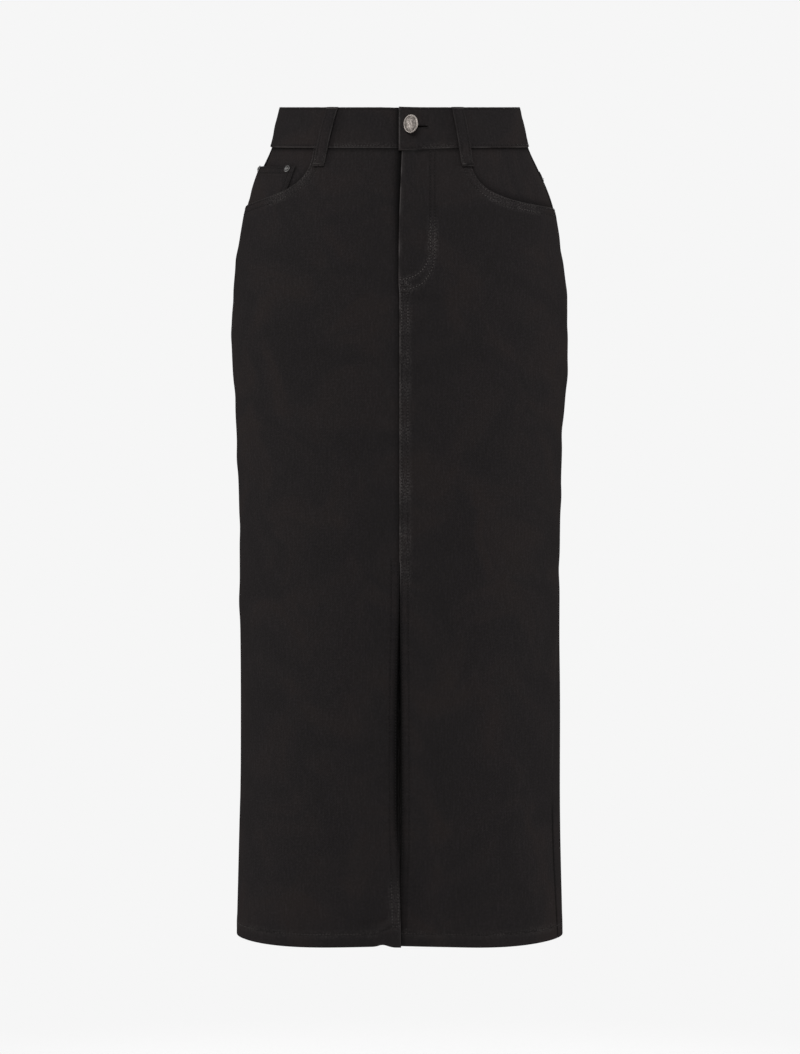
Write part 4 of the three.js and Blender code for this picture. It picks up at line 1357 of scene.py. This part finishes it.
def waistband():
    girth = 2 * float(halfGirth(0))

    def toAcross(along, level):
        return along * halfGirth(level) / halfGirth(0)

    def toAlong(across, level):
        return across * halfGirth(0) / halfGirth(level)

    def edgeLine(along, first, last):
        level = np.linspace(first, last, 20)
        return linePoints(toAcross(along, level), level)

    lapEnd = band["lapEnd"] - girth
    top = linePoints(toAcross(np.linspace(band["lapWide"], lapEnd, 300), waistTop), waistTop)
    foot = linePoints(toAcross(np.linspace(lapEnd, band["lapWide"], 300), waistSeam), waistSeam)
    lapEdge = edgeLine(lapEnd, waistTop, waistSeam)[1:-1]
    buttonEdge = edgeLine(band["lapWide"], waistSeam, waistTop)[1:-1]
    turn = np.linspace(math.radians(12), math.radians(348), 22)
    radius, half, end = band["eyeRadius"], band["slotWide"] / 2, band["buttonholeEnd"]
    eye = linePoints(band["buttonAcross"] + radius * np.cos(turn), radius * np.sin(turn))
    slot = np.vstack([eye, [(20, -half), (end, -half), (end + 0.5, 0), (end, half), (20, half)]])
    hole = linePoints(toAcross(slot[:, 0] - girth, band["buttonLevel"]), slot[:, 1] + band["buttonLevel"])
    along = np.arange(-1.0, lapEnd + 2, -patternStep)
    rows = [linePoints(toAcross(along, level), level) for level in band["rowLevels"]]
    rows.append(edgeLine(lapEnd + 2.0, 17, -17))

    def outer(across, level):
        return bandOuter(toAlong(across, level))

    def sag(across, level):
        along = toAlong(across, level) + girth
        return np.where(along < 80, lapSag(along, level), 0)

    def wearAndPaintedLight(across, level):
        edge, row = band["edgeWearAndHighlight"], band["rowWear"]
        (fromUnder, toUnder), (fromLap, toLap) = band["wornUnder"], band["wornOnLap"]
        black, wide = band["shadeBesideLap"]
        along = toAlong(across, level)
        # the lap's end and the lower edge get painted highlight as well as wear
        onRim = np.where(along < lapEnd + 3, edge["lap"], np.where(level < 0, edge["low"], edge["high"]))
        onLap = (along + girth > fromLap) & (along + girth < toLap)
        underLap = (along > fromUnder) & (along < toUnder)
        onRows = np.where((level < -12) & (underLap | onLap), row["worn"], row["plain"])
        # painted shade beside the lap's edge
        paintedShade = black * np.exp(-((np.maximum(-along, 0) / wide) ** 2)) * (along > -40)
        return onRim, onRows, paintedShade

    return sewPiece(
        "denim_waistband", np.vstack([top, lapEdge, foot, buttonEdge]), outer, rows=rows, holes=[hole],
        step=2.8, thick=band["cloth"], sag=sag, wearAndPaintedLight=wearAndPaintedLight,
        cut=lambda across, level: (toAlong(across, level), level),
    )


madePieces.append(("waistband", "stretched", *waistband()))
print("Waistband sewn")

# Belt loops

loop = {
    "wide": 13,
    "cloth": 1.6,
    "fold": 2.6,
    "foldFrom": -36,
    "crown": 0.35,
    "rowsIn": 2.2,
    "behindSide": 62,
    # level, how far the loop stands off the band or the panel under it
    "profile": [
        (20.6, 0.3), (18.8, 1.3), (10, 2.5), (-6, 2.9), (-20, 2.6), (-29, 2), (-35.4, 0.5), (-36, 0.5),
        (-41, 0.4),
    ],
}


def beltLoop(name, topAcross, bottomAcross):
    levels, stands = np.array(loop["profile"], float)[::-1].T
    first, last = levels[-1], levels[0]
    half = loop["wide"] / 2

    def middle(level):
        return topAcross + (first - level) / (first - last) * (bottomAcross - topAcross)

    def thickness(level):
        return loop["cloth"] + (loop["fold"] - loop["cloth"]) * (1 - ease((level - loop["foldFrom"]) / 1.2))

    def outer(across, level):
        base = band["proud"] * ease((level - waistSeam + 1.5) / 3)
        away = (across - middle(level)) / half
        crown = loop["crown"] * (1 - away * away)
        return base + np.interp(level, levels, stands) + thickness(level) + crown - 0.2

    down = np.linspace(first, last, 36)
    outline = np.vstack([linePoints(middle(down) - half, down), linePoints(middle(down) + half, down)[::-1]])
    run = np.linspace(first - 3, last + 4, 30)
    rows = [linePoints(middle(run) + edge * (half - loop["rowsIn"]), run) for edge in (-1, 1)]
    piece, _, _ = sewPiece(
        f"denim_{name}", outline, outer, lambda across, level: thickness(level) / loop["cloth"], rows,
        step=1.5, thick=loop["cloth"],
        wearAndPaintedLight=lambda across, level: (0.3, 0.06 + 0.4 * ease((-24 - level) / 8), 0),
    )
    size = np.array([loop["wide"], first - last]) / 1000
    return piece, size, float(size[0] * size[1])


loopEnds = (loop["profile"][0][0], loop["profile"][-1][0])
sideLoop = [float(quarterGirth(level)) + loop["behindSide"] for level in loopEnds]

# Where each loop's top and its foot lie across
loopPlaces = {
    "belt_loop_front_left": (59.5, 70.5),
    "belt_loop_front_right": (-70, -85.5),
    "belt_loop_side_left": sideLoop,
    "belt_loop_side_right": [-across for across in sideLoop],
    "belt_loop_back": [float(halfGirth(level)) for level in loopEnds],
}
for name, (topAcross, bottomAcross) in loopPlaces.items():
    madePieces.append((name, "folded", *beltLoop(name, topAcross, bottomAcross)))
print("Belt loops sewn")

# The zip behind the fly

zipper = {
    "halfWide": 13,
    "end": -167,
    "outer": -5,
    "tapeThick": 0.8,  # of the cloth's thickness
    "teeth": {
        "pitch": 2.0, "length": 5.2, "width": 1.3, "height": 2.0, "turn": 90, "waver": 0, "lift": -0.48,
    },
    "slider": {"level": -27, "wide": 3.6, "deep": 1.5, "long": 10},
}


def onTape(across, level):
    return np.full_like(level, zipper["outer"])


def zipTape():
    half = zipper["halfWide"]
    corners = [(-half, zipper["end"]), (half, zipper["end"]), (half, topOfPanels), (-half, topOfPanels)]
    return sewPiece(
        "zip_tape", np.array(corners, float), onTape,
        lambda across, level: np.full_like(level, zipper["tapeThick"]), step=2.6,
    )


madePieces.append(("zip", "hung", *zipTape()))

for node, held, piece, size, area in madePieces:
    slot, material = ("zip_tape", tape) if node == "zip" else ("denim", denim)
    piece.data.materials.append(material)
    handOver(piece, node)
print("Cloth handed over")

# Stitches


# Sizes in millimetres, angles in degrees
topstitch = {"pitch": 3.2, "length": 2.1, "width": 1.1, "height": 0.8, "turn": 0, "waver": 6, "lift": 0.2}
bartack = {"pitch": 0.55, "length": 2.2, "width": 0.5, "height": 0.7, "turn": 84, "waver": 5, "lift": 0.3}
holeStitch = {"pitch": 0.7, "length": 2.3, "width": 0.6, "height": 0.7, "turn": 90, "waver": 7, "lift": 0.12}


# A tree that lays short threads along the edges of a path, each turned to the cloth by its "up" attribute.
def stitchTree():
    tree = bpy.data.node_groups.new("lay stitches", "GeometryNodeTree")
    kinds = {"Geometry": "Geometry", "Seed": "Int", "Material": "Material"}
    for name in ("Geometry", "Pitch", "Length", "Width", "Height", "Turn", "Waver", "Seed", "Material"):
        tree.interface.new_socket(name, in_out="INPUT", socket_type="NodeSocket" + kinds.get(name, "Float"))
    tree.interface.new_socket("Geometry", in_out="OUTPUT", socket_type="NodeSocketGeometry")
    given = addNode(tree, "NodeGroupInput").outputs
    path = addNode(tree, "GeometryNodeMeshToCurve", {"Mesh": given["Geometry"]})
    spaced = {"Curve": path, "Length": given["Pitch"]}
    even = addNode(tree, "GeometryNodeResampleCurve", spaced, mode="LENGTH")
    tangent = addNode(tree, "GeometryNodeInputTangent")
    up = addNode(tree, "GeometryNodeInputNamedAttribute", {"Name": "up"}, data_type="FLOAT_VECTOR")
    along = addNode(tree, "FunctionNodeAlignRotationToVector", {"Vector": tangent}, axis="X")
    standing = {"Rotation": along, "Vector": up}
    flat = addNode(tree, "FunctionNodeAlignRotationToVector", standing, axis="Z", pivot_axis="X")
    least = addNode(tree, "ShaderNodeMath", {0: given["Waver"], 1: -1.0}, operation="MULTIPLY")
    wavering = {2: least, 3: given["Waver"], "Seed": given["Seed"]}
    loose = addNode(tree, "FunctionNodeRandomValue", wavering, data_type="FLOAT")
    turn = addNode(tree, "ShaderNodeMath", {0: given["Turn"], 1: loose.outputs[1]}, operation="ADD")
    turned = {"Axis": (0, 0, 1), "Angle": turn}
    spin = addNode(tree, "FunctionNodeAxisAngleToRotation", turned)
    spun = {"Rotation": flat, "Rotate By": spin}
    final = addNode(tree, "FunctionNodeRotateRotation", spun, rotation_space="LOCAL")
    sides = {"X": given["Length"], "Y": given["Width"], "Z": given["Height"]}
    size = addNode(tree, "ShaderNodeCombineXYZ", sides)
    grain = addNode(tree, "GeometryNodeMeshUVSphere", {"Segments": 6, "Rings": 5, "Radius": 0.5})
    each = {
        "Points": even, "Instance": grain, "Rotation": final,
        "Scale": size,
    }
    laid = addNode(tree, "GeometryNodeInstanceOnPoints", each)
    real = addNode(tree, "GeometryNodeRealizeInstances", {"Geometry": laid})
    smooth = addNode(tree, "GeometryNodeSetShadeSmooth", {"Geometry": real})
    dyed = {"Geometry": smooth, "Material": given["Material"]}
    finished = addNode(tree, "GeometryNodeSetMaterial", dyed)
    addNode(tree, "NodeGroupOutput", {"Geometry": finished})
    return tree


layStitches = stitchTree()


# Lays stitches along paths on the cloth, a little proud of it. A path that isn't rubbed with its piece has
# one wear all along.
def sewThreads(name, paths, settings, seed, wear=0, material=thread):
    points, ups, wears, edges = [], [], [], []
    for path in paths:
        across, level = path["line"].T
        relief, _ = stitchRelief(path["rows"], path["line"])
        out = path["outer"](across, level) + relief + settings["lift"]
        worn = path["wearAndPaintedLight"](across, level)[1] if path["wearAndPaintedLight"] else wear
        first = len(points)
        points += [tuple(p) for p in clothPoint(across, level, out, path["sag"]) / 1000]
        ups += [tuple(n) for n in outward(across, level)]
        wears += list(np.broadcast_to(worn, len(across)))
        edges += [(first + i, first + i + 1) for i in range(len(across) - 1)]
    mesh = bpy.data.meshes.new(name)
    mesh.from_pydata(points, edges, [])
    mesh.attributes.new("up", "FLOAT_VECTOR", "POINT").data.foreach_set("vector", np.array(ups).ravel())
    mesh.attributes.new("wear", "FLOAT", "POINT").data.foreach_set("value", np.array(wears, float))
    piece = addObject(name, mesh)
    modifier = piece.modifiers.new("threads", "NODES")
    modifier.node_group = layStitches
    values = {"Seed": seed, "Material": material}
    values |= {size.capitalize(): settings[size] / 1000 for size in ("pitch", "length", "width", "height")}
    values |= {angle.capitalize(): math.radians(settings[angle]) for angle in ("turn", "waver")}
    for socket in layStitches.interface.items_tree:
        if socket.item_type == "SOCKET" and socket.in_out == "INPUT" and socket.name in values:
            modifier[socket.identifier] = values[socket.name]
    bpy.context.view_layer.update()
    evaluated = piece.evaluated_get(bpy.context.evaluated_depsgraph_get())
    made = bpy.data.meshes.new_from_object(evaluated)
    piece.modifiers.clear()
    piece.data = made
    handOver(piece)


def sewTopstitching():
    groups = {"front": [], "back": [], "waist": [], "pockets": []}
    groupOf = {"denim_front": "front", "denim_back": "back", "denim_yoke": "back", "denim_coin": "pockets"}
    for path in stitchPaths:
        group = groupOf.get("_".join(path["name"].split("_")[:2]), "waist")
        groups[group].append(path)
    for seed, (group, paths) in enumerate(groups.items()):
        sewThreads(f"topstitching_{group}", paths, topstitch, seed)


def straightPath(first, last):
    return stepped([first, last], 0.5)


bartacks = {
    "loopHalf": 5.6,
    "loopLevels": (18.6, -38.8),
    "footShare": 0.035,  # how far up the loop its foot's bartack lies
    "flyEnds": (3.5, -2.6),  # above the fly's end, and below it
    "mouthInside": 2.2,
    "mouthFrom": -1.6,
    "mouthTo": -9.2,
}


# Bartacks hold the ends of the loops, the fly and the pocket mouths.
def sewBartacks():
    paths = []
    outerOf = {path["name"]: path["outer"] for path in stitchPaths}
    half = bartacks["loopHalf"]
    high, low = bartacks["loopLevels"]
    for node, (top, bottom) in loopPlaces.items():
        for level, place in ((low, bottom - (bottom - top) * bartacks["footShare"]), (high, top)):
            line = straightPath((place - half, level), (place + half, level))
            paths.append(threadPath(line, outerOf[f"denim_{node}"]))
    for above in bartacks["flyEnds"]:
        line = straightPath(*[(across, flyEnd + above) for across in front["flyEndReach"]])
        paths.append(threadPath(line, outerOf["denim_front_left"], wearAndPaintedLight=lambda across, level: (0, 0.3, 0)))
    for side, hand in handOf.items():
        end = front["scoops"][side][3]
        across = hand * (float(sideSeam(side, end - 5)) - bartacks["mouthInside"])
        line = straightPath((across, end + bartacks["mouthFrom"]), (across, end + bartacks["mouthTo"]))
        paths.append(threadPath(line, outerOf[f"denim_front_{side}"]))
    sewThreads("bartacks", paths, bartack, 11, wear=0.8)


def sewButtonhole():
    beside = 0.9
    half, eye = band["slotWide"] / 2 + beside, band["eyeRadius"] + beside
    turn = np.linspace(math.radians(25), math.radians(335), 30)
    ring = linePoints(band["buttonAcross"] + eye * np.cos(turn), eye * np.sin(turn))
    end = band["buttonholeEnd"]
    path = np.vstack([ring, [(end - 0.4, -half), (end + 0.9, 0), (end - 0.4, half)], ring[:1]])
    path = stepped(path, 0.6) + (0, band["buttonLevel"])
    path[:, 0] *= float(halfGirth(band["buttonLevel"]) / halfGirth(0))
    paths = [threadPath(path, lambda across, level: lapOuter(across), sag=lapSag)]
    sewThreads("buttonhole_stitching", paths, holeStitch, 12, wear=0.4)


# The teeth stand through the tape, so that they show on both of its sides.
def zipTeeth():
    line = straightPath((0, zipper["slider"]["level"] - 5), (0, zipper["end"] + 4))
    sewThreads("zip_teeth", [threadPath(line, onTape)], zipper["teeth"], 13, material=gunmetal)


sewTopstitching()
sewBartacks()
sewButtonhole()
zipTeeth()
print("Stitches sewn:", len(stitchPaths), "rows")

# Metal

button = {
    "size": 0.95,
    "tilt": -42,
    "roll": -2,
    "stand": 5.9,
    # radius, height, how polished
    "cap": [
        (0, 0, 0), (7.6, 0, 0), (9.0, 0.15, 0), (9.7, 0.6, 0.3), (10.0, 1.1, 0.7), (9.95, 1.6, 1),
        (9.7, 2.0, 1), (9.3, 2.22, 1), (8.9, 2.2, 1), (8.6, 2.0, 0.5), (8.3, 1.75, 0), (7.9, 1.8, 0),
        (7.2, 2.1, 0.25), (6.0, 2.45, 0.25), (4.6, 2.75, 0.3), (3.0, 3.0, 0.35), (1.5, 3.14, 0.35),
        (0, 3.2, 0.35),
    ],
    "shankTop": 6.9,
    # radius, height above its foot
    "shank": [(0, 0), (3.4, 0), (3.4, 0.5), (2.5, 0.9), (2.4, 1.4)],
}

rivetProfile = [
    (0, 0, 0), (3.6, 0, 0), (3.75, 0.15, 0.3), (3.72, 0.45, 0.7), (3.4, 0.7, 0.7), (2.9, 0.82, 0.2),
    (2.2, 0.86, 0), (1.95, 1.0, 0), (1.75, 1.35, 0.4), (1.35, 1.62, 0.9), (0.7, 1.76, 0.9), (0, 1.8, 0.9),
]

# radius and height as shares of the slider's width and length, how polished
sliderProfile = [
    (0, 0, 0), (0.62, 0, 0.3), (1, 0.12, 0.6), (1, 0.5, 0.6), (0.72, 0.86, 0.6), (0.4, 1, 0.3), (0, 1, 0),
]


# A turned shape: radius, height and how polished, in millimetres, spun about Z.
def turned(name, profile, steps, place, finish):
    rings, polish = [], []
    for radius, height, polished in profile:
        angles = [2 * math.pi * i / steps for i in range(steps if radius else 1)]
        rings.append([(radius * math.cos(a), radius * math.sin(a), height) for a in angles])
        polish += [polished] * len(rings[-1])
    points, faces, starts = [], [], []
    for ring in rings:
        starts.append(len(points))
        points += ring
    for (a, first), (b, second) in zip(zip(starts, rings), zip(starts[1:], rings[1:])):
        for i in range(steps):
            j = (i + 1) % steps
            if len(first) == 1:
                faces.append((a, b + j, b + i))
            elif len(second) == 1:
                faces.append((a + i, a + j, b))
            else:
                faces.append((a + i, a + j, b + j, b + i))
    mesh = bpy.data.meshes.new(name)
    mesh.from_pydata([place @ Vector(p) / 1000 for p in points], [], faces)
    mesh.polygons.foreach_set("use_smooth", [True] * len(faces))
    mesh.attributes.new("polished", "FLOAT", "POINT").data.foreach_set("value", polish)
    mesh.materials.append(finish)
    return addObject(name, mesh)


# A frame on the cloth, which stands out as outer gives it: x runs round it, y up it and z out of it.
def frameOn(outer, across, level, lift=0):
    def point(dx, dy):
        at, height = np.array([across + dx], float), np.array([level + dy], float)
        return Vector(clothPoint(at, height, outer(at, height))[0])

    x = (point(1, 0) - point(-1, 0)).normalized()
    z = x.cross(point(0, 1) - point(0, -1)).normalized()
    y = z.cross(x)
    foot = point(0, 0) + z * lift
    return Matrix((
        (x.x, y.x, z.x, foot.x), (x.y, y.y, z.y, foot.y), (x.z, y.z, z.z, foot.z), (0, 0, 0, 1),
    ))


def setButton():
    place = frameOn(lambda across, level: lapOuter(across), band["buttonAcross"], band["buttonLevel"])
    middle = Matrix.Translation(place @ Vector((0, 0, button["stand"])))
    turn = Matrix.Rotation(math.radians(button["tilt"]), 4, "Z") @ Matrix.Rotation(math.radians(90), 4, "X")
    roll = Matrix.Rotation(math.radians(button["roll"]), 4, "Y")
    facing = middle @ roll @ turn @ Matrix.Scale(button["size"], 4)
    foot = -band["cloth"] - band["lapGap"] + 0.3
    shank = [(radius, foot + height, 0) for radius, height in button["shank"]]
    shank += [(shank[-1][0], button["shankTop"], 0), (0, button["shankTop"], 0)]
    handOver(turned("button_cap", button["cap"], 64, facing, nickel), "button")
    handOver(turned("button_shank", shank, 32, place, nickel), "button")


def setRivets():
    for number, (across, level) in enumerate(pocket["rivets"], 1):
        place = frameOn(coinOuter, across, level, 0.3)
        rivet = turned(f"rivet_{number}", rivetProfile, 32, place, gunmetal)
        handOver(rivet, f"coin_rivet_{number}")


def setSlider():
    slider = zipper["slider"]
    wide, long = slider["wide"], slider["long"]
    profile = [(radius * wide, height * long, polished) for radius, height, polished in sliderProfile]
    place = frameOn(lambda across, level: onTape(across, level) - 0.5, 0, slider["level"] - long / 2)
    lying = Matrix.Rotation(math.radians(-90), 4, "X") @ Matrix.Diagonal((1, slider["deep"] / wide, 1, 1))
    handOver(turned("zip_slider", profile, 20, place @ lying, gunmetal))


setButton()
setRivets()
setSlider()
print("Metal set")

# The studio


def buildStudio():
    scene = bpy.context.scene
    scene.view_settings.view_transform = "Standard"
    world = bpy.data.worlds.new("pale studio")
    world.use_nodes = True
    backdrop = world.node_tree.nodes["Background"]
    backdrop.inputs["Color"].default_value = linearColour(studio["backdrop"])
    backdrop.inputs["Strength"].default_value = 1.0
    scene.world = world
    for name, place, aim, (wide, tall), power in studio["softboxes"]:
        light = bpy.data.lights.new(name, "AREA")
        light.shape = "RECTANGLE"
        light.size, light.size_y = wide, tall
        light.energy = power
        lamp = addObject(name, light)
        lamp.location = place
        lamp.rotation_euler = (Vector(aim) - Vector(place)).to_track_quat("-Z", "Y").to_euler()
    camera = bpy.data.cameras.new("camera")
    camera.sensor_width = 36
    camera.lens = studio["focalLength"]
    view = addObject("camera", camera)
    view.location = studio["cameraPlace"]
    view.rotation_euler = (math.pi / 2, 0, 0)
    scene.camera = view
    count, radius = 96, studio["floorRadius"]
    angles = [2 * math.pi * i / count for i in range(count)]
    ring = [(radius * math.cos(a), radius * math.sin(a), studio["floorLevel"]) for a in angles]
    mesh = bpy.data.meshes.new("floor")
    mesh.from_pydata(ring, [], [tuple(range(count))])
    mesh.materials.append(makeMaterial("pale studio floor", paleFloorPaint))
    addObject("floor", mesh)


buildStudio()
print("Studio lit")
